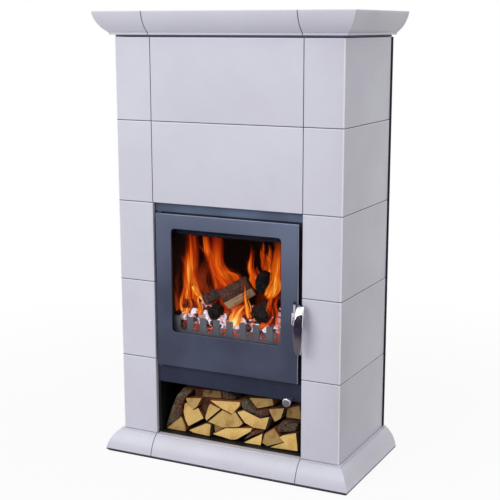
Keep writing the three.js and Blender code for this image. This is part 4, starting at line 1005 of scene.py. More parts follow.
def lofted(rings: np.ndarray, finish: int = 0) -> list[Skin]:
    """Covers a row of matching closed rings and closes both ends.

    The side's pattern coordinates run round and along it, and the ends' across and up.

    Args:
        rings: an array of rings by points by 3.
        finish: which of the piece's finishes it takes.

    Returns:
        The side and the two ends.
    """
    closed = hoop(rings)
    uv = np.stack(np.meshgrid(steps_along(closed.mean(axis=0)), steps_along(rings.mean(axis=1))), axis=-1)
    return [sheet(closed, uv, finish)] + [lid(end, end[:, ::2], finish) for end in (rings[0], rings[-1])]


def turned(profile: Sequence[Sequence[float]], middle: np.ndarray, axis: str,
           segments: int = 64) -> list[Skin]:
    """Turns a profile about an axis.

    The point (r, h) goes to middle + r (cos a, sin a) across the axis + h along it.

    Args:
        profile: radius and height of each point, in millimetres; either end may stand on the axis.
        middle: where height 0 lies on the axis, in metres.
        axis: "Y" or "Z".
        segments: flats round the axis.

    Returns:
        The closed skin.
    """
    radius, height = np.asarray(profile, dtype=float).T[..., None] * MM
    angle = round_turn(segments)[None, :]
    across, up, along = radius * np.cos(angle), radius * np.sin(angle), height + 0 * angle
    order = [across, along, up] if axis == "Y" else [across, up, along]
    return lofted(middle + np.stack(order, axis=-1))


def pebble(middle: np.ndarray, size: np.ndarray, seed: int, rough: float = 0.22) -> Skin:
    """Makes a rough lump of a few dozen faces.

    It is an ellipsoid of half sizes s whose radius swells by 1 + k sin(3u + a) sin(2v + b) sin(v), for u
    round it and v from one end to the other.

    Args:
        middle: its middle, in metres.
        size: its half sizes, in metres.
        seed: picks the two shifts a and b.
        rough: k, how uneven it is.

    Returns:
        The closed skin.
    """
    shift = np.random.default_rng(seed).uniform(0, 6.28, 2)
    turn, rise = np.meshgrid(np.linspace(0, 2 * math.pi, 11), np.linspace(0, math.pi, 7))
    swell = 1 + rough * np.sin(3 * turn + shift[0]) * np.sin(2 * rise + shift[1]) * np.sin(rise)
    ball = np.stack([np.sin(rise) * np.cos(turn), np.sin(rise) * np.sin(turn), np.cos(rise)], axis=-1)
    return sheet(middle + ball * swell[..., None] * size)


def put_in_scene(name: str, data: bpy.types.ID) -> bpy.types.Object:
    """Makes an object and puts it in the scene.

    Args:
        name: the object's name.
        data: its mesh, lamp or camera.

    Returns:
        The new object.
    """
    made = bpy.data.objects.new(name, data)
    bpy.context.scene.collection.objects.link(made)
    return made


@dataclass(frozen=True)
class Cover:
    """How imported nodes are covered. Their edges' rounding is in millimetres and its steps are flats."""

    nodes: tuple[str, ...]
    finish: Finish
    look: str
    slot: str
    rounding: float
    steps: int = 2
    body: str = "stove"


@dataclass
class Workshop:
    """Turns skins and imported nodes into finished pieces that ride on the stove's bodies.

    Angles are in radians: an edge is sharp past the first, and faces are one face under the second. The
    seams are how near points are that become one, in metres, in new meshes and in packed ones.
    """

    sharp: float = math.radians(38)
    flat: float = math.radians(0.6)
    seam: float = 1e-7
    packed_seam: float = 2e-6
    made: int = 0

    def piece(self, name: str, skins: Sequence[Skin], finishes: Sequence[Finish], body: str,
              slot: str = "", instead: Sequence[str] = ()) -> bpy.types.Object:
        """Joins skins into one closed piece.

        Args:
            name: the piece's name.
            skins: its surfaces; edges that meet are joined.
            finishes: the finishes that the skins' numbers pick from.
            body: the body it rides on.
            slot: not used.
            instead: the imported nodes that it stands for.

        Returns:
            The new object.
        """
        offsets = np.cumsum([0] + [len(skin.points) for skin in skins])
        placed = zip(skins, offsets)
        faces = [[start + corner for corner in face] for skin, start in placed for face in skin.faces]
        mesh = bpy.data.meshes.new(name)
        mesh.from_pydata(np.vstack([skin.points for skin in skins]).tolist(), [], faces)
        uv = np.vstack([np.zeros((len(skin.points), 2)) if skin.uv is None else skin.uv for skin in skins])
        corners = np.empty(len(mesh.loops), dtype=np.int32)
        mesh.loops.foreach_get("vertex_index", corners)
        pattern = uv[corners].astype(np.float32).reshape(-1)
        mesh.uv_layers.new(name="pattern").data.foreach_set("uv", pattern)
        for finish in finishes:
            mesh.materials.append(finish.material())
        counts = [len(skin.faces) for skin in skins]
        picked = np.repeat([skin.finish for skin in skins], counts)
        tones_and_shades = np.repeat([skin.tint for skin in skins], counts)
        mesh.polygons.foreach_set("material_index", picked.astype(np.int32))
        mesh.attributes.new("tint", "FLOAT", "FACE").data.foreach_set("value", tones_and_shades.astype(np.float32))
        self.close(mesh)
        return self.show(name, mesh, body, instead)

    def close(self, mesh: bpy.types.Mesh) -> None:
        """Merges a new mesh's points that lie together, and turns its faces outwards.

        Args:
            mesh: the mesh to mend.
        """
        build = bmesh.new()
        build.from_mesh(mesh)
        bmesh.ops.remove_doubles(build, verts=build.verts, dist=self.seam)
        bmesh.ops.dissolve_degenerate(build, edges=build.edges, dist=self.seam)
        bmesh.ops.recalc_face_normals(build, faces=build.faces)
        build.to_mesh(mesh)
        build.free()

    def show(self, name: str, mesh: bpy.types.Mesh, body: str,
             instead: Sequence[str]) -> bpy.types.Object:
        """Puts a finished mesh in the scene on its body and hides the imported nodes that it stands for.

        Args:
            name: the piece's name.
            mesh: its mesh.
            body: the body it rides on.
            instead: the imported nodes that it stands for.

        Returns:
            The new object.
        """
        mesh.shade_smooth()
        mesh.set_sharp_from_angle(angle=self.sharp)
        made = put_in_scene(name, mesh)
        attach(made, body)
        if instead:
            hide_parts(*instead)
        self.made += 1
        LOG.info("piece %s: %d faces on %s", name, len(mesh.polygons), body)
        return made

    def soft_edged(self, node: str, cover: Cover) -> bpy.types.Object:
        """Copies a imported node, joins its triangles into whole faces and rounds its edges.

        Args:
            node: the node to copy and stand for.
            cover: how it is covered.

        Returns:
            The new object.
        """
        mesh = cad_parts[node].data.copy()
        mesh.name = f"{node}_{cover.look}"
        build = bmesh.new()
        build.from_mesh(mesh)
        bmesh.ops.remove_doubles(build, verts=build.verts, dist=self.packed_seam)
        bmesh.ops.dissolve_limit(build, angle_limit=self.flat, verts=build.verts, edges=build.edges)
        build.to_mesh(mesh)
        build.free()
        mesh.materials.clear()
        mesh.materials.append(cover.finish.material())
        made = self.show(mesh.name, mesh, cover.body, [node])
        bevel = made.modifiers.new("rounded edges", "BEVEL")
        bevel.width = cover.rounding * MM
        bevel.segments = cover.steps
        bevel.limit_method = "ANGLE"
        bevel.angle_limit = self.sharp
        bevel.harden_normals = True
        return made

    def cover_all(self, covers: Sequence[Cover]) -> None:
        """Covers every node of every cover, in order."""
        for cover in covers:
            for node in cover.nodes:
                self.soft_edged(node, cover)

    def finish_node(self, node: str, finish: Finish) -> None:
        """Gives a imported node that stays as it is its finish.

        Args:
            node: the node.
            finish: its finish.
        """
        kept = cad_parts[node]
        if not kept.material_slots:
            kept.data.materials.append(finish.material())
        for held in kept.material_slots:
            held.material = finish.material()
        LOG.info("node %s: %s", node, finish.name)


# ---------------------------------------------------------------- the stove


@dataclass
class Cladding:
    """The glazed tiles, five rows high, and the mouldings above and below them."""

    shop: Workshop
    rows: int = 5
    wide_rows: tuple = (4, 5)
    tile_edge: float = 2.8
    moulding_edge: float = 2.0
    glaze: Finish = Glaze("tile_glaze")
    moulding_glaze: Finish = Glaze("moulding_glaze", tile_rows=False)

    def build(self) -> None:
        """Makes every tile and moulding with softly rounded edges."""
        corners = [f"tile_{side}_{row}" for side in ("left", "right") for row in range(1, self.rows + 1)]
        wide = [f"tile_front_{row}" for row in self.wide_rows]
        sides = ("left", "front", "right")
        mouldings = [f"{level}_{side}" for level in ("crown", "base") for side in sides]
        self.shop.cover_all([
            Cover((*corners, *wide), self.glaze, "glazed", "tile", self.tile_edge, 3),
            Cover((*mouldings,), self.moulding_glaze, "glazed", "moulding", self.moulding_edge, 3),
        ])


@dataclass
class Casing:
    """The sheet-metal case behind the tiles, the plates on top and the flue."""

    shop: Workshop
    navy: Finish = Paint("casing_paint", rgb(30, 31, 47), rgb(22, 23, 37), 0.05, 0.7, 0.14, gloss=0.08)
    dark: Finish = Paint("black_paint", rgb(46, 48, 56), rgb(34, 36, 42), 0.1, 0.5, 0.16)
    rail: Finish = Paint("rail_paint", rgb(112, 116, 146), rgb(100, 103, 130), 0.1, 0.6, 0.14)
    covers: tuple = (
        Cover(("floor_pan",), navy, "painted", "floor_pan", 0.5),
        Cover(("back_panel",), navy, "painted", "back_panel", 0.5),
        Cover(("side_panel_left", "side_panel_right"), navy, "painted", "side_panel", 0.5),
        Cover(("top_frame",), rail, "painted", "top_frame", 0.5),
        Cover(("convection_grille", "flue_plate"), dark, "painted", "top_plate", 0.5),
        Cover(("flue_pipe",), dark, "painted", "flue_pipe", 0.6),
    )
    hem_outline: tuple = ((323.0, 320.6), (326.4, 320.6), (326.4, 333.6), (323.0, 333.6))
    hem_rounding: float = 1.5
    hem_height: tuple = (64.5, 1137.0)

    def hem(self, name: str, side: int) -> None:
        """Folds an upright edge of the back sheet over, proud of the tiles: an outline carried straight up.

        Args:
            name: the piece's name.
            side: -1 for left, 1 for right.
        """
        outline = soften(self.hem_outline, self.hem_rounding) * (side, 1)
        rings = [np.column_stack([outline, np.full(len(outline), height)]) for height in self.hem_height]
        self.shop.piece(name, lofted(place(np.stack(rings))), [self.navy], "stove", "back_panel")

    def build(self) -> None:
        """Makes the hems of the back sheet, the case, the grille and the flue."""
        self.hem("back_hem_left", -1)
        self.hem("back_hem_right", 1)
        self.shop.cover_all(self.covers)


@dataclass
class Front:
    """The painted steel at the front: strips above and below the door and the niche for wood."""

    shop: Workshop
    paint: Finish = Paint("blue_grey_paint", rgb(108, 124, 152), rgb(90, 103, 129))
    lower: Finish = Paint("lower_paint", rgb(56, 63, 88), rgb(45, 51, 74))
    frame_paint: Finish = Paint("fire_frame_paint", rgb(34, 36, 66), rgb(23, 24, 50), 0.1, 0.5, 0.2)
    inside: Finish = Paint("niche_paint", rgb(24, 23, 27), rgb(14, 13, 16), 0.1, 0.5, 0.2)
    covers: tuple = (
        Cover(("front_strip",), paint, "painted", "front_steel", 0.8, 3),
        Cover(("front_band",), lower, "painted", "front_steel", 0.6, 3),
        Cover(("niche_left", "niche_right"), inside, "painted", "niche_side", 0.5),
        Cover(("niche_top", "niche_floor"), inside, "painted", "niche_sheet", 0.5),
        Cover(("fire_frame",), frame_paint, "painted", "front_steel", 0.5),
    )

    def build(self) -> None:
        """Makes the strips, the plates of the niche and the frame behind the door."""
        self.shop.cover_all(self.covers)


@dataclass
class Door:
    """The fire door: a steel leaf, its pane, the frame that holds the pane, the rope and the hinges."""

    shop: Workshop
    rim: float = 12.0
    edgewise: float = 0.5
    # the door's paint carries painted light, paler towards its top and right
    paint: Finish = Paint("door_paint", rgb(82, 89, 113), rgb(68, 74, 96), painted_light=0.55)
    reveal: Finish = Paint("reveal_paint", rgb(34, 36, 46), rgb(24, 26, 34), 0.1)
    # painted highlight on the leaf's outer rim, its top and side faces
    rubbed: Finish = Paint("painted_highlight_edge_paint", rgb(228, 232, 244), rgb(206, 211, 226), 0.1)
    soot: Finish = Soot("door_soot", rgb(20, 26, 44), rgb(32, 38, 58))
    leaf: Cover = Cover(("door_frame",), paint, "painted", "door_steel", 1.6, 3, "door")
    covers: tuple = (
        Cover(("door_glass",), ClearGlass("clear_glass"), "clear", "door_glass", 0.4, 2, "door"),
        Cover(("glass_frame",), soot, "sooty", "glass_frame", 0.6, 2, "door"),
        Cover(("door_gasket",), RopeWeave("rope"), "rope", "gasket", 1.5, 3, "door"),
        Cover(("hinge_upper", "hinge_lower"), paint, "painted", "door_steel", 0.5),
    )

    def paint_edges(self, mesh: bpy.types.Mesh) -> None:
        """Gives the walls of the window's opening a dark finish, and the outer rim a light one: a painted
        highlight.

        A face is a wall or a rim where its normal's share along y is less than edgewise.

        Args:
            mesh: the leaf's mesh.
        """
        normals = np.empty(len(mesh.polygons) * 3, dtype=np.float32)
        centres = np.empty(len(mesh.polygons) * 3, dtype=np.float32)
        mesh.polygons.foreach_get("normal", normals)
        mesh.polygons.foreach_get("center", centres)
        low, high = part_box("door_frame")
        sideways = np.abs(normals[1::3]) < self.edgewise
        x_inside = np.abs(centres[::3]) < high.x - self.rim * MM
        z_inside = (centres[2::3] > low.z + self.rim * MM) & (centres[2::3] < high.z - self.rim * MM)
        # 1 marks the window's walls, 2 the outer rim with its painted highlight
        picked = np.where(sideways, np.where(x_inside & z_inside, 1, 2), 0)
        for finish in (self.reveal, self.rubbed):
            mesh.materials.append(finish.material())
        mesh.polygons.foreach_set("material_index", picked.astype(np.int32))

    def build(self) -> None:
        """Makes the leaf and what is on it."""
        self.paint_edges(self.shop.soft_edged("door_frame", self.leaf).data)
        self.shop.cover_all(self.covers)


@dataclass
class Handle:
    """The sprung door handle: a curved polished grip on an arm that turns on an upright pin."""

    shop: Workshop
    middle: float = 221.2
    waist: float = 437.0
    front_curve: tuple = (
        (-33, -87), (-37.3, -59), (-38.1, -29), (-35.5, -1), (-29.6, 21), (-20.5, 37), (-10, 42),
    )
    rear_curve: tuple = (
        (-26, -85), (-29.3, -57), (-29.8, -28), (-27, -5), (-21, 14), (-15.5, 29), (-10, 34.5),
    )
    half_widths: tuple = (
        (4.5, -87), (7.6, -81), (10.6, -65), (12.8, -45), (13.3, -25), (12.8, 3), (11.9, 25), (9.5, 37),
        (6.0, 42),
    )
    squared: float = 0.6
    closed_in: float = 0.025
    end_size: float = 0.02
    flats: int = 40
    arm_corners: tuple = ((204.1, 431.3), (215.2, 431.3), (215.2, 443.0), (204.1, 443.0))
    arm_rounding: float = 2.2
    arm_depths: tuple = (-31.0, -30.6, -29.6, -10.9, -9.9, -9.5)
    arm_shares: tuple = (0.86, 0.95, 1.0, 1.0, 0.95, 0.86)
    pin_at: tuple = (202.0, -12.0)
    hub_profile: tuple = (
        (3.6, 427.9), (3.95, 428.1), (4.15, 428.7), (4.15, 444.8), (3.95, 445.4), (3.6, 445.6),
    )
    hub_flats: int = 48
    chrome: Finish = Bright("polished_chrome", rgb(222, 220, 227), 0.05)
    steel: Finish = Bright("bright_steel", rgb(246, 246, 250), 0.3, 0.12, (60.0, 60.0, 900.0), 0.3)
    dark_steel: Finish = Bright("spring_steel", rgb(96, 92, 98), 0.3, 0.15)
    covers: tuple = (
        Cover(("handle_bracket",), steel, "bright", "handle_mount", 0.6, 3, "door"),
        Cover(("handle_pin",), steel, "bright", "handle_mount", 0.4, 2, "door"),
        Cover(("pin_cap",), Moulded("black_cap"), "moulded", "pin_cap", 0.5, 3, "door"),
        Cover(("latch_hook",), dark_steel, "steel", "latch_hook", 0.4, 2, "handle"),
    )

    def grip(self) -> list[Skin]:
        """Works the grip out.

        A ring stands between a front point f and a rear point r of the side view. With c = (f + r) / 2,
        h = (f - r) / 2 and the half width w, its points are c + h s(sin a) + w s(cos a) in x, where
        s(v) = sign(v) |v|^0.6 squares the section up. Over the first and last share of its length, named
        closed_in, the section closes as a quarter circle does, down to end_size of its size.

        Returns:
            The closed skin.
        """
        front = smooth_path(self.front_curve, 8)
        rear = smooth_path(self.rear_curve, 8)
        middle = (front + rear) / 2
        widths = np.array(self.half_widths)
        width = np.interp(middle[:, 1], widths[:, 1], widths[:, 0])
        share = np.linspace(0, 1, len(front))
        ends = np.minimum(1, np.minimum(share, 1 - share) / self.closed_in)
        closing = np.sqrt(1 - (1 - ends) ** 2) * (1 - self.end_size) + self.end_size
        angle = round_turn(self.flats)
        across, over = (np.sign(v) * np.abs(v) ** self.squared for v in (np.cos(angle), np.sin(angle)))
        half = (front - rear) / 2 * closing[:, None]
        side = middle[:, None, :] + half[:, None, :] * over[None, :, None]
        x = self.middle + (width * closing)[:, None] * across[None, :]
        return lofted(place(np.stack([x, side[..., 0], side[..., 1] + self.waist], axis=-1)))

    def arm(self) -> list[Skin]:
        """Works the short arm between the hub and the grip out: a rounded block whose rings run back.

        Returns:
            The closed skin.
        """
        rings = resized(soften(self.arm_corners, self.arm_rounding), self.arm_shares)
        return lofted(front_view(rings, np.array(self.arm_depths)[:, None]))

    def hub(self) -> list[Skin]:
        """Works the hub out, which turns on the pin."""
        return turned(self.hub_profile, spot(*self.pin_at, 0.0), "Z", self.hub_flats)

    def build(self) -> None:
        """Makes the handle's pieces."""
        lever = self.grip() + self.arm() + self.hub()
        self.shop.piece("handle_lever_polished", lever, [self.chrome], "handle", "handle_lever",
                        ["handle_lever"])
        self.shop.cover_all(self.covers)
        self.shop.finish_node("handle_spring", self.steel)


@dataclass
class AirControl:
    """The air slide under the door and its turned knob."""

    shop: Workshop
    knob_at: tuple = (187.0, 220.0)
    profile: tuple = (
        (0.0, -30.0), (6.0, -29.9), (9.2, -29.5), (10.6, -28.6), (11.2, -27.2), (11.2, -21.0),
        (10.7, -19.8), (9.4, -19.0), (8.2, -17.6), (7.6, -15.4), (7.6, -9.4), (7.2, -8.4), (6.2, -8.1),
        (3.2, -8.1),
    )
    knob: Finish = Bright("turned_steel", rgb(226, 228, 236), 0.3, 0.12, (300.0, 60.0, 300.0))
    covers: tuple = (
        Cover(("air_slide",), Zinc("slide_zinc"), "sheet", "air_slide", 0.4, 2, "air_control"),
    )

    def build(self) -> None:
        """Makes the knob and the slide."""
        knob = turned(self.profile, spot(self.knob_at[0], 0.0, self.knob_at[1]), "Y")
        self.shop.piece("air_knob_turned", knob, [self.knob], "air_control", "air_knob", ["air_knob"])
        self.shop.cover_all(self.covers)


@dataclass
class FireBox:
    """The fire box behind the door with its liners, hearth, grate, ash pan and log guard."""

    shop: Workshop
    soot: Finish = Soot("fire_box_soot")
    board: Finish = Board("liner_board")
    brick: Finish = Board(
        "hearth_brick", rgb(150, 134, 112), rgb(96, 82, 66), rgb(40, 36, 34), 120.0, 0.25, 0.40,
    )
    iron: Finish = Casting("cast_iron", rgb(132, 135, 147), rgb(97, 99, 111))
    wash: Finish = Soot("air_wash_soot", rgb(20, 26, 44), rgb(32, 38, 58))
    covers: tuple = (
        Cover(("firebox_shell", "firebox_top", "firebox_floor"), soot, "sooty", "firebox_plate", 0.6),
        Cover(("liner_left", "liner_right", "liner_back", "baffle"), board, "board", "liner", 1.5, 3),
        Cover(("hearth_left", "hearth_right"), brick, "brick", "hearth", 3.0, 3),
        Cover(("grate", "log_guard"), iron, "cast", "cast_iron", 0.9),
        Cover(("ash_pan",), Zinc("pan_zinc"), "sheet", "ash_pan", 0.6),
        Cover(("air_wash_plate",), wash, "sooty", "air_wash", 0.5),
    )

    def build(self) -> None:
        """Makes the fire box's pieces."""
        self.shop.cover_all(self.covers)


class Grain(Enum):
    """What a piece of firewood turns to the front."""

    SAWN = "sawn end"
    BARK = "bark"


@dataclass(frozen=True)
class Billet:
    """One split log: how dark its end is, how far back it starts and its outline seen from the front."""

    grain: Grain
    tint: float
    front: float
    outline: tuple


@dataclass
class Firewood:
    """The split logs stacked in the niche, their ends to the front.

    Sizes are in millimetres. A log's rings stand at its front plus ring_steps, and at the back less
    ring_ends. No ring leaves the niche, whose inside runs from niche_low to niche_high, across and up.
    """

    shop: Workshop
    back: float = 288.0
    corner: float = 2.6
    ring_steps: tuple = (0.0, 0.8, 2.5, 9.0, 60.0, 140.0)
    ring_ends: tuple = (40.0, 1.0)
    worn_end: tuple = (0.965, 0.99, 1.0, 1.05)
    niche_low: tuple = (-208.4, 66.8)
    niche_high: tuple = (208.4, 203.4)
    hump: float = 7.0
    hump_shares: tuple = (0.15, 0.45, 0.75, 0.9)
    heart_out: float = 1.15
    # each log's darkness is partly its wood's own tone and partly painted shade, higher for logs near the
    # top of the niche
    logs: tuple = (
        Billet(Grain.SAWN, 0.45, 34, (
            (-208, 67), (-160, 110), (-152, 95), (-145, 77), (-146, 67), (-185, 66.9),
        )),
        Billet(Grain.BARK, 0.25, 30, (
            (-208, 69), (-203, 84), (-187, 132), (-170, 170), (-149, 194), (-119, 194), (-142, 166),
            (-153, 148), (-157, 112),
        )),
        Billet(Grain.SAWN, 0.16, 33, (
            (-148, 149), (-141, 153), (-120, 134), (-104, 143), (-87, 115), (-137, 83), (-147, 102),
            (-152, 124),
        )),
        Billet(Grain.SAWN, 0.50, 29, (
            (-142, 167), (-118, 170), (-92, 174), (-106, 147), (-120, 136), (-137, 154),
        )),
        Billet(Grain.SAWN, 1.00, 40, (
            (-117, 194), (-38, 199), (-35, 178), (-67, 176), (-93, 174), (-118, 172),
        )),
        Billet(Grain.BARK, 0.30, 38, ((-35, 202), (-14, 203), (6, 188), (9, 181), (-31, 179))),
        Billet(Grain.SAWN, 1.25, 46, ((-90, 171), (-67, 174), (-73, 149), (-87, 117), (-104, 144))),
        Billet(Grain.SAWN, 0.30, 31, ((-68, 161), (-34, 151), (-79, 110), (-83, 119), (-73, 149))),
        Billet(Grain.SAWN, 0.36, 28, (
            (-28, 150), (0, 141), (12, 151), (36, 121), (22, 109), (-29, 99), (-73, 109),
        )),
        Billet(Grain.SAWN, 0.12, 30, ((-67, 171), (26, 180), (24, 168), (2, 142), (-32, 153))),
        Billet(Grain.BARK, 0.10, 34, ((26, 186), (49, 192), (72, 167), (86, 147), (66, 151), (29, 163))),
        Billet(Grain.SAWN, 0.12, 29, (
            (16, 151), (36, 159), (86, 143), (114, 152), (102, 114), (66, 114), (39, 124),
        )),
        Billet(Grain.SAWN, 0.60, 36, ((49, 194), (119, 201), (122, 183), (73, 167))),
        Billet(Grain.BARK, 0.75, 31, ((73, 164), (106, 172), (112, 156), (86, 144))),
        Billet(Grain.SAWN, 0.62, 30, ((109, 173), (156, 183), (146, 152), (128, 140))),
        Billet(Grain.SAWN, 0.85, 44, ((158, 178), (193, 192), (200, 154), (154, 152))),
        Billet(Grain.BARK, 0.15, 32, ((133, 124), (151, 147), (193, 146), (192, 124), (135, 111))),
        Billet(Grain.SAWN, 0.16, 28, ((-133, 75), (-77, 104), (-63, 103), (-67, 68), (-119, 70))),
        Billet(Grain.SAWN, 0.80, 40, ((-60, 100), (-27, 97), (-57, 78))),
        Billet(Grain.SAWN, 0.08, 30, ((-60, 75), (-19, 99), (62, 112), (59, 103), (15, 72), (-2, 68))),
        Billet(Grain.SAWN, 0.00, 27, ((37, 68), (94, 103), (89, 68.5))),
        Billet(Grain.BARK, 0.55, 36, ((30, 70), (60, 104), (97, 111), (94, 105))),
        Billet(Grain.SAWN, 0.62, 29, ((91, 76), (99, 103), (127, 123), (155, 88), (106, 68))),
        Billet(Grain.SAWN, 0.05, 27, (
            (143, 101), (156, 109), (192, 121), (198, 70), (115, 67.5), (158, 88),
        )),
        Billet(Grain.SAWN, 0.90, 60, (
            (-60, 102), (-30, 100), (-75, 112), (-100, 140), (-106, 143), (-86, 112),
        )),
    )

    def log(self, number: int, billet: Billet) -> None:
        """Makes one log: its rounded outline, carried back, with a share s of its size at each ring.

        The end has the outline's size, a little less at its worn rim. Behind it, at the depth d,
        s = 1.05 + 0.02 sin(1.7n + d/37). Bark bulges forward: its hump stands h (1 - s^2) before the
        front. The end's pattern is centred on the log's heart, which lies past the outline's farthest
        corner, and is turned away from it.

        Args:
            number: n, its place in the pile.
            billet: what it is like.
        """
        bark = billet.grain is Grain.BARK
        shape = soften(billet.outline, self.corner * (2 if bark else 1))
        depths = np.array([billet.front + step for step in self.ring_steps]
                          + [self.back - step for step in self.ring_ends])
        shares = 1.05 + 0.02 * np.sin(number * 1.7 + depths / 37)
        shares[:len(self.worn_end)] = self.worn_end
        rings = np.clip(resized(shape, shares), self.niche_low, self.niche_high)
        if bark:
            swell = np.array(self.hump_shares)
            rings = np.concatenate([resized(shape, swell), rings])
            depths = np.concatenate([billet.front - self.hump * (1 - swell**2), depths])
        skins = lofted(front_view(rings, depths[:, None]), 1)
        middle = shape.mean(axis=0)
        far = shape[np.argmax(np.linalg.norm(shape - middle, axis=1))]
        heart = middle + (far - middle) * self.heart_out
        away = unit(middle - heart)
        turn = np.array([away, (-away[1], away[0])]).T
        for cut, ring in zip(skins[1:], (rings[0], rings[-1])):
            cut.uv = (ring - heart) @ turn * MM
            cut.finish = 0
        for skin in skins:
            skin.tint = billet.tint
        end = Bark("bark_front", red=billet.tint) if bark else SawnEnd("sawn_end")
        side = Bark("bark_side", red=0.4) if bark or number % 3 == 0 else SplitFace("split_face")
        self.shop.piece(f"billet_{number:02d}", skins, [end, side], "stove")

    def build(self) -> None:
        """Stacks the logs."""
        for number, billet in enumerate(self.logs, start=1):
            self.log(number, billet)


@dataclass(frozen=True)
class Tongue:
    """One flame: its heat, its greatest width, how far back it burns, and its middle line up to its tip."""

    name: str
    heat: Heat
    width: float
    depth: float
    spine: tuple
    blunt: float = 0.6
    lean: float = 0.0


@dataclass(frozen=True)
class Brand:
    """One burning log: its two ends, its radius and how ashy and how hot it is."""

    name: str
    start: tuple
    end: tuple
    radius: float
    ashy: float
    glow: float


@dataclass
class Fire:
    """The fire on the hearth: burning logs on a heap of embers and ash, with flames above them.

    Sizes are in millimetres. Rings are pairs: the share of the log's length where a ring stands, and its
    share of the log's size. A strand of a flame is how far aside it stands, how wide and how long it is,
    as shares of the flame's own.
    """

    shop: Workshop
    heap_front: float = 47.0
    heap_back: float = 250.0
    heap_reach: float = 171.0
    heap_foot: float = 341.0
    heap_grid: tuple = (60, 40)
    lumps: int = 260
    lump_sizes: tuple = (5.0, 12.0)
    strewn_aside: float = 165.0
    strewn_back: float = 150.0
    brand_rings: tuple = (
        (0.0, 0.82), (0.02, 0.94), (0.06, 1.0), (0.25, 1.0), (0.5, 1.0), (0.75, 1.0), (0.94, 1.0),
        (0.98, 0.94), (1.0, 0.82),
    )
    brand_flats: int = 28
    half_start: tuple = (-36, 56, 450)
    half_end: tuple = (30, 86, 492)
    half_section: tuple = ((-23, 2), (-14, 22), (5, 29), (21, 21), (28, 4), (22, -10), (0, -32), (-19, -21))
    half_rounding: float = 7.0
    half_rings: tuple = (
        (0.0, 0.88), (0.02, 0.96), (0.05, 1.0), (0.5, 1.03), (0.95, 1.0), (0.98, 0.96), (1.0, 0.88),
    )
    half_brown: float = 0.68
    half_tint: float = 0.05
    strands: tuple = ((0.0, 1.0, 1.0), (-0.26, 0.5, 0.8), (0.28, 0.42, 0.66))
    strand_flats: int = 20
    thinnest: float = 0.05
    brands: tuple = (
        Brand("brand_front_left", (-62, 45, 409), (-76, 150, 420), 18, 0.04, 0.02),
        Brand("brand_front_right", (76, 46, 409), (104, 124, 474), 23, 0.04, 0.04),
        Brand("brand_high_right", (84, 62, 503), (50, 150, 498), 28, 0.02, 0.0),
        Brand("brand_split_left", (-96, 60, 440), (-62, 112, 462), 15, 0.16, 0.35),
        Brand("brand_edge_left", (-156, 44, 430), (-150, 110, 412), 13, 0.2, 0.5),
        Brand("brand_edge_right", (133, 64, 474), (139, 120, 440), 14, 0.05, 0.2),
        Brand("brand_small", (42, 56, 414), (48, 110, 430), 12, 0.1, 0.2),
    )
    tongues: tuple = (
        Tongue("flame_left_column", Heat.ORANGE, 70, 86, (
            (-152, 396), (-151, 440), (-147, 478), (-140, 525), (-142, 585), (-146, 700),
        ), 0.14, 34),
        Tongue("flame_middle_back", Heat.ORANGE, 46, 96, (
            (-74, 430), (-76, 505), (-87, 555), (-98, 600), (-106, 700),
        ), 0.3, 44),
        Tongue("flame_middle", Heat.ORANGE, 86, 84, (
            (6, 455), (-28, 494), (-55, 530), (-66, 580), (-70, 700),
        ), 0.3, 32),
        Tongue("flame_left_wisp", Heat.DIM, 44, 34, ((-163, 404), (-166, 462), (-164, 560))),
        Tongue("flame_left_fork", Heat.YELLOW, 26, 64, (
            (-140, 480), (-121, 458), (-101, 434), (-92, 416),
        )),
        Tongue("flame_left_foot", Heat.YELLOW, 34, 58, (
            (-156, 392), (-148, 424), (-148, 456), (-155, 510),
        )),
        Tongue("flame_right_middle", Heat.ORANGE, 56, 104, ((38, 470), (34, 510), (24, 548), (14, 610))),
        Tongue("flame_right_tall", Heat.ORANGE, 36, 118, ((58, 520), (54, 566), (42, 616))),
        Tongue("flame_right_twin", Heat.YELLOW, 40, 112, ((72, 510), (76, 550), (64, 606))),
        Tongue("flame_right_tip", Heat.ORANGE, 30, 110, ((88, 520), (90, 562), (92, 610))),
        Tongue("flame_right_hook", Heat.YELLOW, 48, 60, (
            (84, 466), (102, 482), (115, 508), (122, 550), (120, 600), (112, 690),
        ), 0.35, 10),
        Tongue("flame_right_edge", Heat.RED, 46, 86, (
            (138, 400), (140, 480), (134, 560), (128, 680),
        ), 0.4, 34),
        Tongue("flame_centre_lick", Heat.ORANGE, 28, 50, ((44, 402), (36, 440), (30, 478), (22, 524))),
        Tongue("flame_base", Heat.YELLOW, 56, 52, ((-8, 378), (2, 406), (16, 432), (30, 468))),
        Tongue("flame_right_foot", Heat.ORANGE, 36, 52, (
            (70, 376), (94, 406), (104, 441), (108, 478), (118, 540),
        )),
        Tongue("flame_left_lick", Heat.RED, 46, 88, ((-44, 396), (-54, 440), (-72, 490), (-80, 560))),
        Tongue("flame_edge_lick", Heat.ORANGE, 26, 40, (
            (-152, 404), (-156, 430), (-150, 462), (-156, 500),
        )),
        Tongue("flame_ember_left", Heat.YELLOW, 20, 50, (
            (-112, 400), (-106, 420), (-112, 446), (-108, 470),
        )),
        Tongue("flame_ember_right", Heat.ORANGE, 30, 48, (
            (124, 392), (130, 424), (122, 460), (130, 500),
        )),
        Tongue("flame_haze_left", Heat.DIM, 150, 112, (
            (-120, 370), (-122, 440), (-122, 500), (-118, 610),
        ), 0.4),
        Tongue("flame_haze_right", Heat.DIM, 140, 124, ((72, 390), (76, 460), (78, 530), (76, 620)), 0.4),
        Tongue("flame_haze_low", Heat.RED, 170, 100, ((-20, 370), (-30, 410), (-40, 450), (-46, 500))),
    )

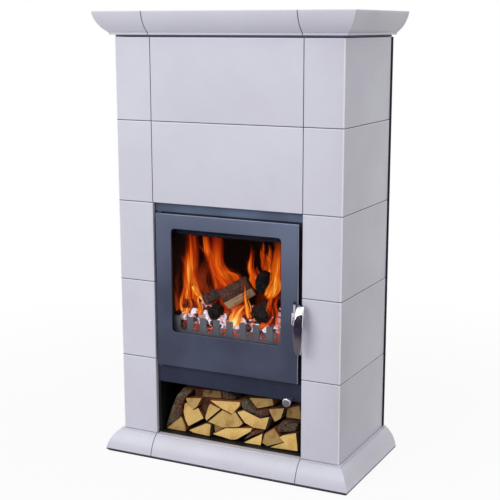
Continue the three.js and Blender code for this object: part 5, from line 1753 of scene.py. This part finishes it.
    def rise(self, x: np.ndarray, y: np.ndarray) -> np.ndarray:
        """Works the heap's height out over the hearth, in millimetres.

        It is (1 - u^40)(1 - v^6) (54 + 30 u^6 + 5 sin(x/13) cos(y/11)) over the heap's foot, with u and v
        running from -1 to 1 across the heap, so it banks up against the linings.

        Args:
            x: places across, in millimetres.
            y: depths, in millimetres.

        Returns:
            The height at each place.
        """
        u = np.clip(x / self.heap_reach, -1, 1)
        v = (2 * y - self.heap_front - self.heap_back) / (self.heap_back - self.heap_front)
        inside = (1 - u**40) * (1 - np.clip(v, -1, 1) ** 6)
        return self.heap_foot + inside * (54 + 30 * u**6 + 5 * np.sin(x / 13) * np.cos(y / 11))

    def heap(self) -> None:
        """Makes the heap of ash: the surface of rise over a flat foot."""
        columns, rows = self.heap_grid
        x, y = np.meshgrid(np.linspace(-self.heap_reach, self.heap_reach, columns),
                           np.linspace(self.heap_front, self.heap_back, rows))
        top = place(np.stack([x, y, self.rise(x, y)], axis=-1))
        foot = place(np.stack([x, y, np.full_like(x, self.heap_foot)], axis=-1))
        ash = Char("glowing_ash", ashy=0.6, glow=1.1)
        self.shop.piece("ash_heap", [sheet(top), sheet(foot)], [ash], "stove")

    def embers(self) -> None:
        """Strews lumps of three kinds over the heap, more of them towards its front.

        With a chance v from 0 to 1, a lump lies 4 + r v^1.6 behind the heap's front, for the reach r of
        strewn_back. It sinks into the heap by half of its half height.
        """
        chance = np.random.default_rng(17)
        across = chance.uniform(-self.strewn_aside, self.strewn_aside, self.lumps)
        back = self.heap_front + 4 + self.strewn_back * chance.uniform(0, 1, self.lumps) ** 1.6
        size = chance.uniform(*self.lump_sizes, (self.lumps, 3)) * np.array([1.0, 0.9, 0.9])
        up = self.rise(across, np.maximum(back, self.heap_front + 16)) + size[:, 2] * 0.5
        middles = place(np.stack([across, back, up], axis=-1))
        kinds = (
            # the sixth value makes the ash give out its own colour as painted light
            Char("white_ash", rgb(44, 24, 26), rgb(236, 236, 250), 1.3, 1.1, 70.0, 0.5),
            Char("red_ember", rgb(40, 16, 14), rgb(224, 196, 196), 0.8, 1.6, 70.0, 0.2),
            Char("charcoal", ashy=0.3, glow=0.25),
        )
        for kind, finish in enumerate(kinds):
            chosen = range(kind, self.lumps, len(kinds))
            skins = [pebble(middles[i], size[i] * MM, i) for i in chosen]
            self.shop.piece(f"{finish.name}_lumps", skins, [finish], "stove")

    def brand(self, brand: Brand, number: int) -> None:
        """Makes one burning log.

        Its radius at the share t along it and the angle a round it is
        r (1 + 0.04 sin(3a + n) + 0.03 sin(9t + 5a)), drawn in at both ends.

        Args:
            brand: what it is like.
            number: n, which shifts the pattern.
        """
        start, end = spot(*brand.start), spot(*brand.end)
        share, drawn = np.array(self.brand_rings).T
        ahead = unit(end - start)
        across = unit(np.cross(ahead, (0.0, 0.0, 1.0)))
        beside = np.cross(across, ahead)
        angle = round_turn(self.brand_flats)
        uneven = 1 + 0.04 * np.sin(3 * angle + number) + 0.03 * np.sin(9 * share[:, None] + 5 * angle)
        radius = (brand.radius * MM * drawn)[:, None] * uneven
        circle = np.cos(angle)[:, None] * across + np.sin(angle)[:, None] * beside
        rings = carried(start, end, share, radius[..., None] * circle)
        finish = Char(f"char_{brand.name}", ashy=brand.ashy, glow=brand.glow, cracks=38.0)
        self.shop.piece(brand.name, lofted(rings), [finish], "stove")

    def half_log(self) -> None:
        """Makes the half-burnt log in the middle: brown bark above, its pale split side below."""
        start, end = spot(*self.half_start), spot(*self.half_end)
        ahead = unit(end - start)
        across = unit(np.cross(ahead, (0.0, -1.0, 0.0)))
        front = np.cross(ahead, across)
        front = front if front[1] < 0 else -front
        above = across if across[2] > 0 else -across
        section = soften(self.half_section, self.half_rounding) * MM
        share, size = np.array(self.half_rings).T
        ring = section[:, :1] * front + section[:, 1:] * above
        skins = lofted(carried(start, end, share, size[:, None, None] * ring), 1)
        side = skins[0]
        split = int(len(section) * self.half_brown)
        around = [number % len(section) for number in range(len(side.faces))]
        brown = [face for face, at in zip(side.faces, around) if at < split]
        pale = [face for face, at in zip(side.faces, around) if at >= split]
        skins[0] = Skin(side.points, brown, side.uv, 1)
        skins.append(Skin(side.points, pale, side.uv, 0, self.half_tint))
        wood = SplitFace("scorched_split", rgb(246, 224, 182), rgb(160, 122, 84))
        bark = Bark("scorched_bark", rgb(140, 98, 80), rgb(54, 32, 28), rgb(140, 62, 42), rgb(120, 96, 86))
        self.shop.piece("half_burnt_log", skins, [wood, bark], "stove")

    def tongue(self, tongue: Tongue) -> None:
        """Makes one flame of three strands.

        A strand is a flattened tube along the middle line of a flame of the width w and bluntness b. At the
        share t its half width is its own share of w/2 (1 - t)^b (0.4 + 0.6 min(1, 5t)), and half its
        thickness is 0.3 of that. It stands aside by its share of w (0.5 + 0.5t), sways by
        0.16 w t sin(9t + 2.1k) for strand k, stands 3k mm farther back and leans forward by t^2.

        Args:
            tongue: what it is like.
        """
        line = smooth_path(tongue.spine, 8)
        share = np.linspace(0, 1, len(line))
        ahead = unit(np.gradient(line, axis=0))
        side = np.stack([ahead[:, 1], -ahead[:, 0]], axis=1)
        angle = np.linspace(0, 2 * math.pi, self.strand_flats + 1)
        places = np.arange(len(line))
        skins = []
        for strand, (aside, wide, long) in enumerate(self.strands):
            foot = 0.4 + 0.6 * np.minimum(1, 5 * share)
            half = np.maximum(tongue.width / 2 * wide * (1 - share) ** tongue.blunt * foot, self.thinnest)
            reach = np.interp(share * long, share, places)
            base = np.stack([np.interp(reach, places, line[:, i]) for i in (0, 1)], axis=1)
            swing = 0.16 * share * np.sin(9 * share + 2.1 * strand)
            sway = tongue.width * (aside * (0.5 + 0.5 * share) + swing)
            middle = base + side * sway[:, None]
            flat = middle[:, None, :] + side[:, None, :] * (half[:, None] * np.cos(angle))[..., None]
            depth = (tongue.depth - tongue.lean * share**2 + 3.0 * strand)[:, None] + (
                0.3 * half[:, None] * np.sin(angle)[None, :])
            tubes = front_view(flat, depth)
            uv = np.stack([np.broadcast_to(0.5 + 0.5 * np.cos(angle), depth.shape),
                           np.broadcast_to(share[:, None], depth.shape)], axis=-1)
            skins.append(sheet(tubes, uv))
            skins += [lid(tubes[i, :-1], uv[i, :-1]) for i in (0, -1)]
        gas = FlameLight(f"burning_gas_{tongue.heat.name.lower()}", tongue.heat)
        self.shop.piece(tongue.name, skins, [gas], "stove")

    def build(self) -> None:
        """Lays and lights the fire."""
        self.heap()
        self.embers()
        for number, brand in enumerate(self.brands):
            self.brand(brand, number)
        self.half_log()
        for tongue in self.tongues:
            self.tongue(tongue)


# ---------------------------------------------------------------- the studio


@dataclass
class Studio:
    """The plain room: floor, soft lamps and the camera at the photograph's viewing angle.

    A lamp is its name, where it stands, what it faces, the side of its square and its power in watts.
    """

    eye: tuple = (1.32897, -2.66761, 1.16483)
    yaw: float = 26.109
    pitch: float = -12.265
    lens: float = 80.79
    shift: tuple = (-0.016, 0.040)
    sensor: float = 36.0
    sight: float = 60.0
    floor_reach: float = 12.0
    floor_level: float = -0.0004
    world_strength: float = 0.50
    soft_colour: tuple = (1.0, 0.975, 0.955)
    lamp_colour: tuple = (0.965, 0.98, 1.0)
    sweep: tuple = (-0.2, -3.2, 2.3, 0.5)
    sweep_reach: float = 5.0
    sweep_level: float = 0.002
    sweep_hidden: tuple = ("camera", "diffuse", "transmission", "shadow", "volume_scatter")
    lamps: tuple = (
        ("key_lamp", (-1.5, -3.4, 2.5), (0.0, -0.1, 0.55), 3.0, 79.0),
        ("top_lamp", (0.4, -0.6, 3.6), (0.0, 0.0, 0.6), 2.6, 24.0),
        ("side_lamp", (3.0, 0.9, 2.9), (0.3, 0.0, 0.8), 2.0, 25.0),
    )

    def camera(self) -> None:
        """Sets the camera up.

        It looks along (-sin y cos p, cos y cos p, sin p) for yaw y and pitch p, upright.
        """
        yaw, pitch = math.radians(self.yaw), math.radians(self.pitch)
        ahead = Vector((-math.sin(yaw) * math.cos(pitch), math.cos(yaw) * math.cos(pitch), math.sin(pitch)))
        right = Vector((math.cos(yaw), math.sin(yaw), 0.0))
        above = right.cross(ahead)
        turn = Matrix((right, above, -ahead)).transposed().to_4x4()
        data = bpy.data.cameras.new("camera")
        data.sensor_width = self.sensor
        data.lens = self.lens
        data.shift_x, data.shift_y = self.shift
        data.clip_end = self.sight
        made = put_in_scene("camera", data)
        made.matrix_world = Matrix.Translation(self.eye) @ turn
        bpy.context.scene.camera = made

    def lamp(self, name: str, stand: Sequence[float], target: Sequence[float], size: float,
             power: float) -> None:
        """Hangs one soft lamp.

        Args:
            name: the lamp's name.
            stand: where it is.
            target: what it faces.
            size: the side of its square, in metres.
            power: its power in watts.
        """
        data = bpy.data.lights.new(name, "AREA")
        data.shape = "SQUARE"
        data.size = size
        data.energy = power
        data.color = self.lamp_colour
        made = put_in_scene(name, data)
        made.location = stand
        made.rotation_euler = (Vector(target) - Vector(stand)).to_track_quat("-Z", "Y").to_euler()

    def spread(self, name: str, points: np.ndarray, finish: Finish, hidden: Sequence[str] = ()) -> None:
        """Spreads a sheet that belongs to the room and not to the stove.

        Args:
            name: the sheet's name.
            points: its grid of points.
            finish: its finish.
            hidden: the kinds of ray that don't see it.
        """
        grid = sheet(points)
        mesh = bpy.data.meshes.new(name)
        mesh.from_pydata(grid.points.tolist(), [], grid.faces)
        mesh.materials.append(finish.material())
        made = put_in_scene(name, mesh)
        for ray in hidden:
            setattr(made, f"visible_{ray}", False)

    def floor(self) -> None:
        """Lays the floor: a flat grid round the stove, a hair under its base."""
        side = np.linspace(-self.floor_reach, self.floor_reach, 5)
        x, y = np.meshgrid(side, side)
        flat = np.stack([x, y, np.full_like(x, self.floor_level)], axis=-1)
        self.spread("floor", flat, Ground("pale_floor"))

    def dark_sweep(self) -> None:
        """Hangs the dark sheet that bright metal mirrors, as a photographer does, unseen by the camera.

        It lies just over the floor from a to b in front of the stove and rises at b to the height h,
        round a bend of radius r: (b - r sin u, r - r cos u) for u from 0 to a right angle.
        """
        near, far, top, bend = self.sweep
        turn = np.linspace(0, math.pi / 2, 9)
        depth = np.concatenate([[near], far - bend * np.sin(turn), [far - bend]])
        bent = self.sweep_level + bend - bend * np.cos(turn)
        height = np.concatenate([[self.sweep_level], bent, [top]])
        across = np.linspace(-self.sweep_reach, self.sweep_reach, 3)
        grid = np.broadcast_arrays(across[None, :], depth[:, None], height[:, None])
        self.spread("dark_sweep", np.stack(grid, axis=-1), DarkSheet("dark_sheet"), self.sweep_hidden)

    def world(self) -> None:
        """Makes the sky: white to the camera, to gloss and through glass, and a soft light on the rest."""
        sky = bpy.data.worlds.new("studio")
        sky.use_nodes = True
        bpy.context.scene.world = sky
        bench = Bench(sky.node_tree)
        white, soft = (
            bench.out("ShaderNodeBackground", {}, {"Color": (*colour, 1.0), "Strength": strength})
            for colour, strength in (((1.0, 1.0, 1.0), 1.0), (self.soft_colour, self.world_strength))
        )
        shown = bench.out("ShaderNodeMixShader", {}, {0: bench.background_seen(), 1: soft, 2: white})
        bench.node("ShaderNodeOutputWorld", {}, {"Surface": shown})

    def build(self) -> None:
        """Sets the whole room up."""
        self.camera()
        self.world()
        self.floor()
        self.dark_sweep()
        for lamp in self.lamps:
            self.lamp(*lamp)


def main() -> None:
    """Builds the stove, then the room."""
    logging.basicConfig(level=logging.INFO, format="%(name)s: %(message)s", stream=sys.stdout)
    shop = Workshop()
    for kind in (Cladding, Casing, Front, Door, Handle, AirControl, FireBox, Firewood, Fire):
        kind(shop).build()
        LOG.info("%s built", kind.__name__)
    Studio().build()
    bpy.context.scene.view_settings.view_transform = "Standard"
    LOG.info("%d pieces made", shop.made)


if __name__ == "__main__":
    main()
